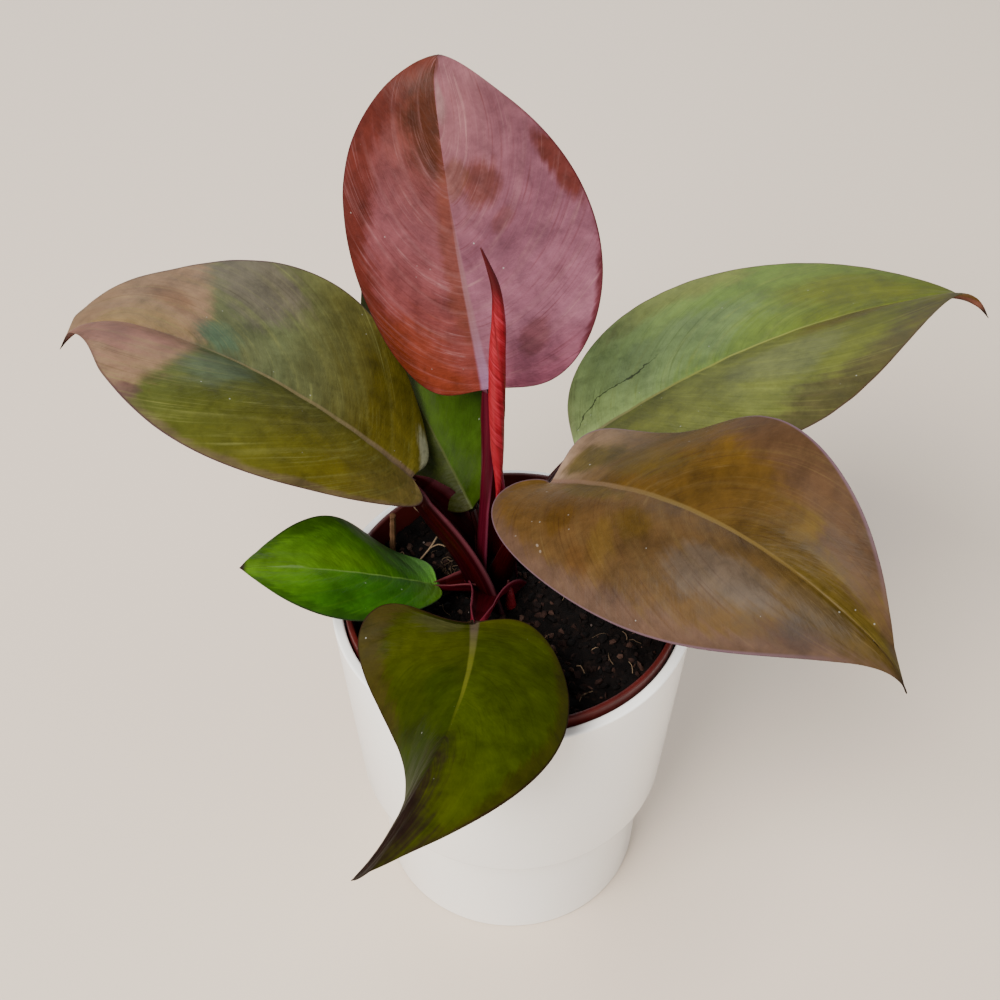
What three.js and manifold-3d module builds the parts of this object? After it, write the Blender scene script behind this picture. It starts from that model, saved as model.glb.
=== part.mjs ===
// Potted foliage plant: seven broad leaves on short channelled stalks, a rolled new leaf, a
// nursery pot full of soil and the glazed cachepot around it. Millimetres, Z up. The middle of
// the cachepot's underside is the origin, the surface is z = 0 and the plant's front is -Y.
import * as THREE from 'three';
import Module from 'manifold-3d';

const wasm = await Module();
wasm.setup();
const { Manifold, Mesh: SolidMesh } = wasm;

// Fit between touching pieces
const GAP = 0.3;

// Cachepot
const CACHEPOT_HEIGHT = 141;
const CACHEPOT_RIM_RADIUS = 63.8;
const CACHEPOT_RIM_INNER = 60;
const CACHEPOT_SHOULDER_RADIUS = 58;
const CACHEPOT_SHOULDER_Z = 54;
const CACHEPOT_FOOT_TOP_RADIUS = 52;
const CACHEPOT_BASE_RADIUS = 50.5;
const CACHEPOT_WALL = 3.8;
const CACHEPOT_FLOOR = 4;
const CACHEPOT_LEDGE_Z = 58;
const CACHEPOT_LEDGE_INNER = 47.5;
const CACHEPOT_EDGE = 0.8;
const CACHEPOT_HOLLOW_EDGE = 2;

// Nursery pot: stands on the ledge inside the cachepot
const NURSERY_TOP_Z = 144;
const NURSERY_RIM_RADIUS = 59.2;
const NURSERY_RIM_HEIGHT = 10;
const NURSERY_BASE_RADIUS = 50;
const NURSERY_NECK_RADIUS = 57;
const NURSERY_WALL = 1.3;
const NURSERY_RIM_WALL = 1.8;
const NURSERY_EDGE = 0.6;
const DRAIN_RADIUS = 3.5;
const DRAIN_CIRCLE = 32;
const DRAIN_COUNT = 6;
const DRAIN_SIDES = 16;

// Soil
const SOIL_Z = 135;
const SOIL_LUMP = 1.1;
const SOIL_RINGS = [10, 20, 30, 39, 47, 52];
const SOIL_SIDES = 40;
const SOIL_SHOULDER = 1.5;
const SOIL_FIT = 0.4;

// Stem, which stands in a hole in the soil
const STEM_AXIS = [-6.5, 9];
const STEM_FOOT_Z = 105;
const STEM_TOP_Z = 151;
const STEM_RADIUS = 7.5;
const STEM_SIDES = 20;

// Leaf blades
const BLADE_THICKNESS = 0.8;
const BLADE_STATIONS = 15;
const BLADE_COLUMNS = 4;
const TIP_HALF_WIDTH = 0.35;
const MIDRIB_STEP = 0.025;
const MIDRIB_BACK = 0.35;
const DROOP_POWER = 1.4;
const SWEEP_POWER = 1.5;
const VEIN_POWER = 1.7;
const ARCH_POWER = 1.35;
const NORMAL_STEP = 0.004;

// Each leaf: "foot" is where blade and stalk meet; "heading" and "rise" are the direction in which
// the midrib leaves it; "droop" and "sweep" bend the midrib down and to its left, "hook" and
// "tipSweep" do so in the last stretch, from the share "hookFrom" on; "roll" turns the blade about
// the midrib, "twist" adds to it towards the tip; "fold" raises both halves, "unfold" is what the
// tip gains of it; the cups curl each half upwards; a wave is height, cycles and phase. The next
// five have a value for the left half and one for the right: "lobe" is how far the blade reaches
// back past its foot, as a share of the length, over the share "lobeSpan"; "heavy" moves the widest
// place towards the foot; "point" and "heel" are how slender the outline is at tip and foot.
// "sheath" is how much wider the stalk is at the stem. Lengths are in millimetres and angles in
// degrees.
const LEAVES = {
  top: {
    foot: [-8.5, 20, 219],
    length: 107,
    left: 42.5,
    right: 46,
    lobe: [0.07, 0.07],
    lobeSpan: [0.12, 0.12],
    heavy: [0.1, 0.1],
    point: [1.8, 1.8],
    heel: [1.02, 1.02],
    heading: 117,
    rise: 62,
    droop: 4,
    hook: 45,
    hookFrom: 0.86,
    sweep: -7,
    tipSweep: -4,
    roll: -40,
    twist: -6,
    fold: 0,
    unfold: 12,
    cupLeft: 34,
    cupRight: 13,
    waveLeft: [-2, 1.3, -0.05],
    waveRight: [1, 1.3, 0],
    stalkFoot: [-7, 9.5, 146],
    stalkRadius: [4.8, 2.8],
    sheath: 0.45,
  },
  left: {
    foot: [-34.5, 18.5, 180.5],
    length: 135,
    left: 49.5,
    right: 52,
    lobe: [0.08, 0.07],
    lobeSpan: [0.1, 0.08],
    heavy: [0.02, 0.05],
    point: [2.6, 2.2],
    heel: [1.04, 1.08],
    heading: 164,
    rise: 40,
    droop: 42,
    hook: 58,
    hookFrom: 0.78,
    sweep: -8,
    tipSweep: 30,
    roll: 16,
    twist: 9,
    fold: 13,
    unfold: 12,
    cupLeft: 50,
    cupRight: 1,
    waveLeft: [8, 1.1, 0.03],
    waveRight: [5, 1.5, -0.42],
    stalkFoot: [-11.5, 10.5, 142],
    stalkRadius: [3.9, 3],
    sheath: 0.7,
  },
  right_back: {
    foot: [22.5, 44, 171.5],
    length: 156,
    left: 56,
    right: 56,
    lobe: [0.04, 0.04],
    lobeSpan: [0.15, 0.15],
    heavy: [0.1, 0.1],
    point: [4.5, 4.5],
    heel: [0.97, 0.97],
    heading: 16,
    rise: 32,
    droop: 30,
    hook: 60,
    hookFrom: 0.86,
    sweep: -13,
    tipSweep: -15,
    roll: -19,
    twist: -4,
    fold: 13,
    unfold: -1,
    cupLeft: 13,
    cupRight: 28,
    waveLeft: [6, 1.3, -0.18],
    waveRight: [6, 1.3, 0.08],
    stalkFoot: [-2.5, 13, 142],
    stalkRadius: [3.6, 2.6],
    sheath: 0.45,
  },
  right_front: {
    foot: [12, 1.5, 194.5],
    length: 149,
    left: 36.5,
    right: 42,
    lobe: [0.12, 0.12],
    lobeSpan: [0.23, 0.2],
    heavy: [0.3, 0.36],
    point: [3.6, 3.7],
    heel: [1.11, 1.12],
    heading: -44.5,
    rise: 35,
    droop: 65,
    hook: 14,
    hookFrom: 0.86,
    sweep: -11,
    tipSweep: -17,
    roll: -4,
    twist: 25,
    fold: 12,
    unfold: 10,
    cupLeft: 3,
    cupRight: 57,
    waveLeft: [8.2, 2.1, 0],
    waveRight: [-11, 1, -0.38],
    stalkFoot: [-3.5, 6, 147],
    stalkRadius: [3.7, 2.6],
    sheath: 0.45,
  },
  small: {
    foot: [-26.5, -5.5, 151],
    length: 69,
    left: 22.5,
    right: 24,
    lobe: [0.04, 0.04],
    lobeSpan: [0.14, 0.14],
    heavy: [0.14, 0.14],
    point: [2.4, 2.4],
    heel: [1.01, 1.01],
    heading: 189,
    rise: 25,
    droop: 19,
    hook: 7,
    hookFrom: 0.86,
    sweep: -3,
    tipSweep: 0,
    roll: 18,
    twist: -30,
    fold: 10,
    unfold: 0,
    cupLeft: 19,
    cupRight: 15,
    waveLeft: [1.6, 1.6, 0],
    waveRight: [-3, 2.1, -0.4],
    stalkFoot: [-12, 5.5, 140],
    stalkRadius: [2.7, 1.6],
    sheath: 0.9,
  },
  front: {
    foot: [-13, -28, 158],
    length: 110.5,
    left: 32.5,
    right: 40.5,
    lobe: [0.08, 0.27],
    lobeSpan: [0.11, 0.1],
    heavy: [0.49, 0.9],
    point: [2.3, 2.5],
    heel: [0.99, 0.93],
    heading: -90,
    rise: 19,
    droop: 29,
    hook: 0,
    hookFrom: 0.86,
    sweep: -62,
    tipSweep: -44,
    roll: 3,
    twist: 38,
    fold: -8,
    unfold: -5,
    cupLeft: 33,
    cupRight: 13,
    waveLeft: [6.4, 1.2, 0.16],
    waveRight: [7, 1, 0.14],
    stalkFoot: [-7, 3.5, 140.5],
    stalkRadius: [3.4, 2.4],
    sheath: 1.1,
  },
  back: {
    foot: [-14, 19.5, 164.5],
    length: 102,
    left: 33.5,
    right: 32.5,
    lobe: [0.07, 0.07],
    lobeSpan: [0.13, 0.13],
    heavy: [0.35, 0.35],
    point: [2.6, 2.6],
    heel: [0.95, 0.95],
    heading: 117,
    rise: 18,
    droop: 3,
    hook: 0,
    hookFrom: 0.86,
    sweep: 1,
    tipSweep: 0,
    roll: -54,
    twist: 8,
    fold: 20,
    unfold: 0,
    cupLeft: 20,
    cupRight: 20,
    waveLeft: [1, 1.3, 0],
    waveRight: [1, 1.3, 0],
    stalkFoot: [-9.5, 13.5, 145],
    stalkRadius: [2.9, 2],
    sheath: 0.45,
  },
};

// Stalks
const STALK_SIDES = 12;
const STALK_STATIONS = 9;
const STALK_CHANNEL = 0.42;
const STALK_FLATNESS = 0.85;
const STALK_RISE = 0.17;
const STALK_ARRIVAL = 0.2;
const STALK_TURN = 0.12;
const STALK_END_SHARE = 0.2;
const STALK_UNDERLAP = 5;
const STALK_END_RADIUS = 1.1;

// Rolled new leaf, which leans in the channel of the top leaf's stalk
const SPEAR_PATH = [
  [-6.4, 9, 160],
  [-5.4, 7.4, 184],
  [-5.8, 7.6, 213],
  [-6.2, 9, 246],
  [-7.6, 10.4, 264],
  [-10.1, 12, 280],
];
const SPEAR_RADII = [0.9, 1.6, 3.1, 2.9, 1.9, 0.4];
const SPEAR_SIDES = 10;

// Bud beside the stem
const BUD_PATH = [
  [-0.6, -0.6, 131],
  [-0.8, -0.8, 138],
  [-1.2, 0, 143],
  [-1.6, 1, 147.5],
];
const BUD_RADII = [1.6, 2.4, 1.9, 0.35];

// Dry flower stalk behind the left leaf
const DRY_PATH = [
  [-43.5, 26.5, 118],
  [-43.9, 25.8, 135],
  [-43.2, 24, 147],
  [-42.4, 20.5, 160],
];
const DRY_RADII = [1.1, 1.2, 1.15, 1];
const DRY_SIDES = 8;

// Facets around a pot
const POT_SIDES = 60;

// A body as a list of points and a list of triangles, turned so that its faces look outwards.
function body(points, triangles) {
  const a = new THREE.Vector3();
  const b = new THREE.Vector3();
  const c = new THREE.Vector3();
  let volume = 0;
  for (const [i, j, k] of triangles) {
    a.copy(points[i]);
    b.copy(points[j]);
    c.copy(points[k]);
    volume += a.dot(b.cross(c)) / 6;
  }
  const turned = volume < 0 ? triangles.map(([i, j, k]) => [i, k, j]) : triangles;
  return { points, triangles: turned };
}

// Closed skin over rings with equal point counts, from one end point to the other.
function skin(start, rings, end) {
  const points = [start];
  for (const ring of rings) {
    points.push(...ring);
  }
  points.push(end);
  const count = rings[0].length;
  const last = points.length - 1;
  const triangles = [];
  for (let j = 0; j < count; j += 1) {
    const next = (j + 1) % count;
    triangles.push([0, 1 + next, 1 + j]);
    for (let i = 0; i + 1 < rings.length; i += 1) {
      const low = 1 + i * count;
      const high = low + count;
      triangles.push([low + j, low + next, high + next]);
      triangles.push([low + j, high + next, high + j]);
    }
    const top = 1 + (rings.length - 1) * count;
    triangles.push([top + j, top + next, last]);
  }
  return body(points, triangles);
}

// Body of revolution from a profile of [radius, height] that starts and ends on the axis.
function turned(profile) {
  const inner = profile.slice(1, -1);
  const rings = inner.map(([radius, z]) => {
    const ring = [];
    for (let j = 0; j < POT_SIDES; j += 1) {
      const angle = (2 * Math.PI * j) / POT_SIDES;
      ring.push(new THREE.Vector3(radius * Math.cos(angle), radius * Math.sin(angle), z));
    }
    return ring;
  });
  const start = new THREE.Vector3(0, 0, profile[0][1]);
  const end = new THREE.Vector3(0, 0, profile[profile.length - 1][1]);
  return skin(start, rings, end);
}

// Manifold solid of a body.
function solid(shape) {
  const vertProperties = new Float32Array(shape.points.flatMap((p) => [p.x, p.y, p.z]));
  const triVerts = new Uint32Array(shape.triangles.flat());
  return new Manifold(new SolidMesh({ numProp: 3, vertProperties, triVerts }));
}

// The largest piece of a solid.
function largest(cut) {
  const pieces = cut.decompose();
  pieces.sort((p, q) => q.volume() - p.volume());
  return pieces[0];
}

// Solid with every tool cut away.
function without(shape, tools) {
  let result = solid(shape);
  for (const tool of tools) {
    result = result.subtract(solid(tool));
  }
  return largest(result);
}

// Geometry of a solid or of a body.
function geometryOf(shape) {
  const geometry = new THREE.BufferGeometry();
  if (shape.triangles) {
    const flat = shape.points.flatMap((p) => [p.x, p.y, p.z]);
    geometry.setAttribute('position', new THREE.Float32BufferAttribute(flat, 3));
    geometry.setIndex(shape.triangles.flat());
  } else {
    const mesh = shape.getMesh();
    const flat = Array.from(mesh.vertProperties);
    geometry.setAttribute('position', new THREE.Float32BufferAttribute(flat, 3));
    geometry.setIndex(Array.from(mesh.triVerts));
  }
  geometry.computeVertexNormals();
  return geometry;
}

// Direction frames along a midrib: tangent, left and up, with the running position.
function midrib(leaf) {
  const rad = THREE.MathUtils.degToRad;
  const heading = rad(leaf.heading);
  const rise = rad(leaf.rise);
  const tangent = new THREE.Vector3(
    Math.cos(rise) * Math.cos(heading),
    Math.cos(rise) * Math.sin(heading),
    Math.sin(rise),
  );
  const left = new THREE.Vector3(-Math.sin(heading), Math.cos(heading), 0);
  left.applyAxisAngle(tangent, rad(leaf.roll));
  const up = new THREE.Vector3().crossVectors(tangent, left);
  const bend = (share) => {
    const s = Math.max(0, share);
    const h = Math.max(0, (s - leaf.hookFrom) / (1 - leaf.hookFrom)) ** SWEEP_POWER;
    return [
      rad(leaf.droop * s ** DROOP_POWER + leaf.hook * h),
      rad(leaf.sweep * s ** SWEEP_POWER + leaf.tipSweep * h),
      rad(leaf.twist * s),
    ];
  };
  const count = Math.round((1 + MIDRIB_BACK) / MIDRIB_STEP);
  const footIndex = Math.round(MIDRIB_BACK / MIDRIB_STEP);
  const frames = [];
  const position = new THREE.Vector3();
  let before = bend(-MIDRIB_BACK);
  for (let i = 0; i <= count; i += 1) {
    const now = bend(i * MIDRIB_STEP - MIDRIB_BACK);
    const old = tangent.clone();
    tangent.applyAxisAngle(left, now[0] - before[0]);
    up.applyAxisAngle(left, now[0] - before[0]);
    tangent.applyAxisAngle(up, now[1] - before[1]);
    left.applyAxisAngle(up, now[1] - before[1]);
    left.applyAxisAngle(tangent, now[2] - before[2]);
    up.applyAxisAngle(tangent, now[2] - before[2]);
    if (i > 0) {
      position.addScaledVector(old.add(tangent), 0.5 * MIDRIB_STEP * leaf.length);
    }
    frames.push({ p: position.clone(), t: tangent.clone(), s: left.clone(), n: up.clone() });
    before = now;
  }
  const shift = new THREE.Vector3(...leaf.foot).sub(frames[footIndex].p);
  frames.forEach((frame) => frame.p.add(shift));
  return frames;
}

// Frame at a share of the midrib's length, between two neighbours.
function frameAt(frames, share) {
  const place = THREE.MathUtils.clamp((share + MIDRIB_BACK) / MIDRIB_STEP, 0, frames.length - 1.001);
  const i = Math.floor(place);
  const mix = (key) => frames[i][key].clone().lerp(frames[i + 1][key], place - i);
  return { p: mix('p'), t: mix('t').normalize(), s: mix('s').normalize(), n: mix('n').normalize() };
}

// Half width of one half's outline, before it is scaled, at a share u from foot to tip.
function outlineShape(leaf, half, u) {
  const power = leaf.heel[half] + (leaf.point[half] - leaf.heel[half]) * u ** 3;
  const heavy = Math.exp(leaf.heavy[half] * Math.cos(Math.PI * u));
  return Math.sin(Math.PI * u) ** power * heavy;
}

// Greatest value of one half's outline shape.
function outlineScale(leaf, half) {
  const samples = 200;
  let best = 0;
  for (let i = 1; i < samples; i += 1) {
    best = Math.max(best, outlineShape(leaf, half, i / samples));
  }
  return best;
}

// Point of the middle surface: u runs from foot to tip, v from the right margin to the left one.
function bladePoint(leaf, frames, scales, u, v, wider) {
  const side = v >= 0 ? 1 : -1;
  const which = v >= 0 ? 0 : 1;
  const across = Math.abs(v);
  const width = (side > 0 ? leaf.left : leaf.right) + wider;
  const cup = THREE.MathUtils.degToRad(Math.max(1, side > 0 ? leaf.cupLeft : leaf.cupRight));
  const [height, cycles, phase] = side > 0 ? leaf.waveLeft : leaf.waveRight;
  const ends = u <= 0 || u >= 1;
  const shape = ends ? 0 : outlineShape(leaf, which, u) / scales[which];
  const half = ends ? 0 : Math.max(TIP_HALF_WIDTH, width * shape);
  const lobe = leaf.lobe[which];
  const reach = ((1 - Math.cos(Math.PI * u)) / 2) * (1 + lobe) - lobe;
  const along = leaf.length * (reach + lobe * Math.exp(-((u / leaf.lobeSpan[which]) ** 2)));
  const vein = leaf.length * u ** VEIN_POWER;
  const x = vein + (along - vein) * across ** ARCH_POWER;
  const share = x / leaf.length;
  const frame = frameAt(frames, share);
  const fold = leaf.fold + leaf.unfold * THREE.MathUtils.clamp(share, 0, 1);
  const start = THREE.MathUtils.degToRad(fold);
  const angle = start - (cup * half * across) / width;
  const outwards = (width / cup) * (Math.sin(start) - Math.sin(angle));
  const swing = Math.sin(2 * Math.PI * (cycles * u + phase)) * Math.sqrt(Math.sin(Math.PI * u));
  const ripple = ends ? 0 : height * across ** 2 * swing;
  const upwards = (width / cup) * (Math.cos(angle) - Math.cos(start)) + ripple;
  return frame.p.addScaledVector(frame.s, side * outwards).addScaledVector(frame.n, upwards);
}

// Closed blade: upper and lower faces split into triangles alike, joined along the margin.
function blade(leaf, thickness, wider) {
  const frames = midrib(leaf);
  const scales = [outlineScale(leaf, 0), outlineScale(leaf, 1)];
  const at = (u, v) => bladePoint(leaf, frames, scales, u, v, wider);
  const columns = 2 * BLADE_COLUMNS;
  const points = [];
  const rows = [];
  for (let i = 0; i <= BLADE_STATIONS; i += 1) {
    const u = i / BLADE_STATIONS;
    const end = i === 0 || i === BLADE_STATIONS;
    const row = [];
    for (let j = 0; j <= columns; j += 1) {
      const v = j / BLADE_COLUMNS - 1;
      if (end && j > 0) {
        row.push(row[0]);
      } else {
        const middle = at(u, end ? 0 : v);
        let normal = frameAt(frames, u).n;
        if (!end) {
          const lengthwise = at(u + NORMAL_STEP, v).sub(at(u - NORMAL_STEP, v));
          const outer = THREE.MathUtils.clamp(v, NORMAL_STEP - 1, 1 - NORMAL_STEP);
          const crosswise = at(u, outer + NORMAL_STEP).sub(at(u, outer - NORMAL_STEP));
          normal = lengthwise.cross(crosswise).normalize();
        }
        points.push(middle.clone().addScaledVector(normal, thickness / 2));
        points.push(middle.clone().addScaledVector(normal, -thickness / 2));
        row.push(points.length - 2);
      }
    }
    rows.push(row);
  }
  const triangles = [];
  const add = (a, b, c) => {
    if (a !== b && b !== c && a !== c) {
      triangles.push([a, b, c]);
    }
  };
  for (let i = 0; i < BLADE_STATIONS; i += 1) {
    for (let j = 0; j < columns; j += 1) {
      const [a, b] = [rows[i][j], rows[i + 1][j]];
      const [c, d] = [rows[i + 1][j + 1], rows[i][j + 1]];
      add(a, b, c);
      add(a, c, d);
      add(a + 1, c + 1, b + 1);
      add(a + 1, d + 1, c + 1);
    }
    const [p, q] = [rows[i][columns], rows[i + 1][columns]];
    add(p, q, q + 1);
    add(p, q + 1, p + 1);
    const [r, s] = [rows[i][0], rows[i + 1][0]];
    add(s, r, r + 1);
    add(s, r + 1, s + 1);
  }
  return body(points, triangles);
}

// Round or channelled rod along a curve. "shape" gives half width, half height and channel depth.
function rod(curve, stations, sides, facing, shape) {
  const rings = [];
  for (let i = 0; i <= stations; i += 1) {
    const u = i / stations;
    const middle = curve.getPoint(u);
    const tangent = curve.getTangent(u);
    const up = facing.clone().addScaledVector(tangent, -facing.dot(tangent)).normalize();
    const side = new THREE.Vector3().crossVectors(up, tangent);
    const { width, height, channel } = shape(u);
    const ring = [];
    for (let j = 0; j < sides; j += 1) {
      const angle = (2 * Math.PI * j) / sides;
      const lift = Math.sin(angle);
      const dip = lift > 0 ? 1 - channel * lift ** 4 : 1;
      const point = middle.clone().addScaledVector(side, width * Math.cos(angle));
      ring.push(point.addScaledVector(up, height * lift * dip));
    }
    rings.push(ring);
  }
  return skin(curve.getPoint(0), rings, curve.getPoint(1));
}

// Rod through given points with given radii.
function taper(path, radii, sides, wider) {
  const curve = new THREE.CatmullRomCurve3(path.map((p) => new THREE.Vector3(...p)), false, 'centripetal');
  const stations = 3 * (path.length - 1);
  const shape = (u) => {
    const place = Math.min(u * (radii.length - 1), radii.length - 1.001);
    const i = Math.floor(place);
    const radius = THREE.MathUtils.lerp(radii[i], radii[i + 1], place - i) + wider;
    return { width: radius, height: radius, channel: 0 };
  };
  return rod(curve, stations, sides, new THREE.Vector3(0, -1, 0), shape);
}

// Stalk from the stem to the underside of a blade's foot, with a sheath that widens at the stem.
function stalk(leaf, wider) {
  const frame = frameAt(midrib(leaf), 0);
  const start = new THREE.Vector3(...leaf.stalkFoot);
  const end = frame.p.clone().addScaledVector(frame.t, STALK_UNDERLAP);
  end.addScaledVector(frame.n, -STALK_END_RADIUS - BLADE_THICKNESS);
  const outwards = end.clone().sub(start);
  const reach = outwards.length();
  outwards.normalize();
  const first = start.clone().addScaledVector(outwards, STALK_RISE * reach);
  first.z += STALK_RISE * reach;
  const second = end.clone().addScaledVector(outwards, -STALK_ARRIVAL * reach);
  second.addScaledVector(frame.t, -STALK_TURN * reach);
  const curve = new THREE.CubicBezierCurve3(start, first, second, end);
  const [foot, top] = leaf.stalkRadius;
  const shape = (u) => {
    const ending = Math.max(0, (u - 1) / STALK_END_SHARE + 1) ** 1.5;
    const radius = THREE.MathUtils.lerp(THREE.MathUtils.lerp(foot, top, u), STALK_END_RADIUS, ending);
    const width = radius * (1 + leaf.sheath * (1 - u) ** 3) + wider;
    return { width, height: radius * STALK_FLATNESS + wider, channel: STALK_CHANNEL };
  };
  return rod(curve, STALK_STATIONS, STALK_SIDES, frame.n, shape);
}

// Stem: a short thick column with a rounded top.
function stem(wider) {
  const [x, y] = STEM_AXIS;
  const radius = STEM_RADIUS + wider;
  const levels = [
    [0.8 * radius, STEM_FOOT_Z - wider],
    [radius, STEM_FOOT_Z + 4],
    [radius, STEM_TOP_Z - 9],
    [0.92 * radius, STEM_TOP_Z - 5],
    [0.62 * radius, STEM_TOP_Z - 1.2],
  ];
  const rings = levels.map(([r, z]) => {
    const ring = [];
    for (let j = 0; j < STEM_SIDES; j += 1) {
      const angle = (2 * Math.PI * j) / STEM_SIDES;
      ring.push(new THREE.Vector3(x + r * Math.cos(angle), y + r * Math.sin(angle), z));
    }
    return ring;
  });
  const start = new THREE.Vector3(x, y, STEM_FOOT_Z - wider);
  const end = new THREE.Vector3(x, y, STEM_TOP_Z + wider);
  return skin(start, rings, end);
}

// Cachepot: tapered bowl on a narrower foot, with a ledge inside at the step.
function cachepot() {
  const e = CACHEPOT_EDGE;
  const inside = CACHEPOT_SHOULDER_RADIUS - CACHEPOT_WALL;
  return turned([
    [0, 0],
    [CACHEPOT_BASE_RADIUS - e, 0],
    [CACHEPOT_BASE_RADIUS, e],
    [CACHEPOT_FOOT_TOP_RADIUS, CACHEPOT_SHOULDER_Z],
    [CACHEPOT_SHOULDER_RADIUS - e, CACHEPOT_SHOULDER_Z],
    [CACHEPOT_SHOULDER_RADIUS, CACHEPOT_SHOULDER_Z + e],
    [CACHEPOT_RIM_RADIUS, CACHEPOT_HEIGHT - e],
    [CACHEPOT_RIM_RADIUS - e, CACHEPOT_HEIGHT],
    [CACHEPOT_RIM_INNER + e, CACHEPOT_HEIGHT],
    [CACHEPOT_RIM_INNER, CACHEPOT_HEIGHT - e],
    [inside, CACHEPOT_LEDGE_Z],
    [CACHEPOT_LEDGE_INNER, CACHEPOT_LEDGE_Z],
    [CACHEPOT_LEDGE_INNER, CACHEPOT_FLOOR + CACHEPOT_HOLLOW_EDGE],
    [CACHEPOT_LEDGE_INNER - CACHEPOT_HOLLOW_EDGE, CACHEPOT_FLOOR],
    [0, CACHEPOT_FLOOR],
  ]);
}

// Nursery pot: thin tapered wall, a band at the rim and drain holes in the floor.
function nurseryPot() {
  const e = NURSERY_EDGE;
  const foot = CACHEPOT_LEDGE_Z + GAP;
  const band = NURSERY_TOP_Z - NURSERY_RIM_HEIGHT;
  const shell = turned([
    [0, foot],
    [NURSERY_BASE_RADIUS - e, foot],
    [NURSERY_BASE_RADIUS, foot + e],
    [NURSERY_NECK_RADIUS, band],
    [NURSERY_RIM_RADIUS, band + e],
    [NURSERY_RIM_RADIUS, NURSERY_TOP_Z - e],
    [NURSERY_RIM_RADIUS - e, NURSERY_TOP_Z],
    [NURSERY_RIM_RADIUS - NURSERY_RIM_WALL + e, NURSERY_TOP_Z],
    [NURSERY_RIM_RADIUS - NURSERY_RIM_WALL, NURSERY_TOP_Z - e],
    [NURSERY_NECK_RADIUS - NURSERY_WALL, band - 1],
    [NURSERY_BASE_RADIUS - NURSERY_WALL, foot + NURSERY_WALL],
    [0, foot + NURSERY_WALL],
  ]);
  let result = solid(shell);
  for (let i = 0; i < DRAIN_COUNT; i += 1) {
    const angle = (2 * Math.PI * i) / DRAIN_COUNT;
    const drill = Manifold.cylinder(6 * NURSERY_WALL, DRAIN_RADIUS, DRAIN_RADIUS, DRAIN_SIDES, true);
    const x = DRAIN_CIRCLE * Math.cos(angle);
    result = result.subtract(drill.translate([x, DRAIN_CIRCLE * Math.sin(angle), foot]));
  }
  return result;
}

// Height of the soil's lumpy top.
function soilTop(x, y) {
  const broad = Math.sin(0.16 * x + 0.5) * Math.cos(0.14 * y - 0.8);
  const fine = Math.sin(0.43 * x - 0.37 * y + 1.1) + Math.cos(0.39 * x + 0.45 * y);
  return SOIL_Z + SOIL_LUMP * (0.7 * broad + 0.35 * fine);
}

// Soil: fills the nursery pot up to the lumpy top, with holes for what stands in it.
function soil(tools) {
  const foot = CACHEPOT_LEDGE_Z + GAP;
  const band = NURSERY_TOP_Z - NURSERY_RIM_HEIGHT;
  const bottom = foot + NURSERY_WALL + GAP;
  const inside = (z) => {
    const share = THREE.MathUtils.clamp((z - foot) / (band - foot), 0, 1);
    const wall = THREE.MathUtils.lerp(NURSERY_BASE_RADIUS, NURSERY_NECK_RADIUS, share);
    return wall - NURSERY_WALL - SOIL_FIT;
  };
  const ring = (radius, height) => {
    const points = [];
    for (let j = 0; j < SOIL_SIDES; j += 1) {
      const angle = (2 * Math.PI * j) / SOIL_SIDES;
      const x = radius * Math.cos(angle);
      const y = radius * Math.sin(angle);
      points.push(new THREE.Vector3(x, y, height === null ? soilTop(x, y) : height));
    }
    return points;
  };
  const rings = SOIL_RINGS.map((radius) => ring(radius, null));
  rings.push(ring(inside(SOIL_Z - SOIL_SHOULDER), SOIL_Z - SOIL_SHOULDER));
  rings.push(ring(inside(bottom), bottom));
  const shape = skin(
    new THREE.Vector3(0, 0, soilTop(0, 0)),
    rings,
    new THREE.Vector3(0, 0, bottom),
  );
  return without(shape, tools);
}

const group = new THREE.Group();
group.name = 'potted_foliage_plant';

// Add one named piece with its own material.
function piece(name, shape, color, roughness) {
  const material = new THREE.MeshStandardMaterial({ color, roughness });
  material.name = name;
  const mesh = new THREE.Mesh(geometryOf(shape), material);
  mesh.name = name;
  group.add(mesh);
}

piece('cachepot', cachepot(), 0xf1efe9, 0.25);
piece('nursery_pot', nurseryPot(), 0x96402a, 0.55);
const wideStem = stem(GAP);
const wideDry = taper(DRY_PATH, DRY_RADII, DRY_SIDES, GAP);
const wideBud = taper(BUD_PATH, BUD_RADII, SPEAR_SIDES, GAP);
piece('soil', soil([wideStem, wideDry, wideBud]), 0x2b1f19, 0.95);
piece('stem', stem(0), 0x4a2222, 0.6);
piece('spear', taper(SPEAR_PATH, SPEAR_RADII, SPEAR_SIDES, 0), 0x8e2a2c, 0.35);

const STALK_COLORS = {
  top: 0x4b2430,
  left: 0x4a2229,
  right_back: 0x4f2b2c,
  right_front: 0x6e2b2c,
  small: 0x5a2b2c,
  front: 0x7d3034,
  back: 0x4a2a28,
};
const BLADE_COLORS = {
  top: 0x7c4a45,
  left: 0x56562f,
  right_back: 0x5a6e3a,
  right_front: 0x6a5233,
  small: 0x3f6b22,
  front: 0x35481b,
  back: 0x3e5a20,
};
const placed = [wideStem, taper(SPEAR_PATH, SPEAR_RADII, SPEAR_SIDES, GAP)];
for (const leaf of Object.values(LEAVES)) {
  placed.push(blade(leaf, BLADE_THICKNESS + 2 * GAP, GAP));
}
for (const [name, leaf] of Object.entries(LEAVES)) {
  piece(`petiole_${name}`, without(stalk(leaf, 0), placed), STALK_COLORS[name], 0.4);
  piece(`blade_${name}`, blade(leaf, BLADE_THICKNESS, 0), BLADE_COLORS[name], 0.4);
  placed.push(stalk(leaf, GAP));
}
piece('bud', without(taper(BUD_PATH, BUD_RADII, SPEAR_SIDES, 0), placed), 0xa02824, 0.35);
piece('dry_stalk', taper(DRY_PATH, DRY_RADII, DRY_SIDES, 0), 0xb39468, 0.85);

export default group;
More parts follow.
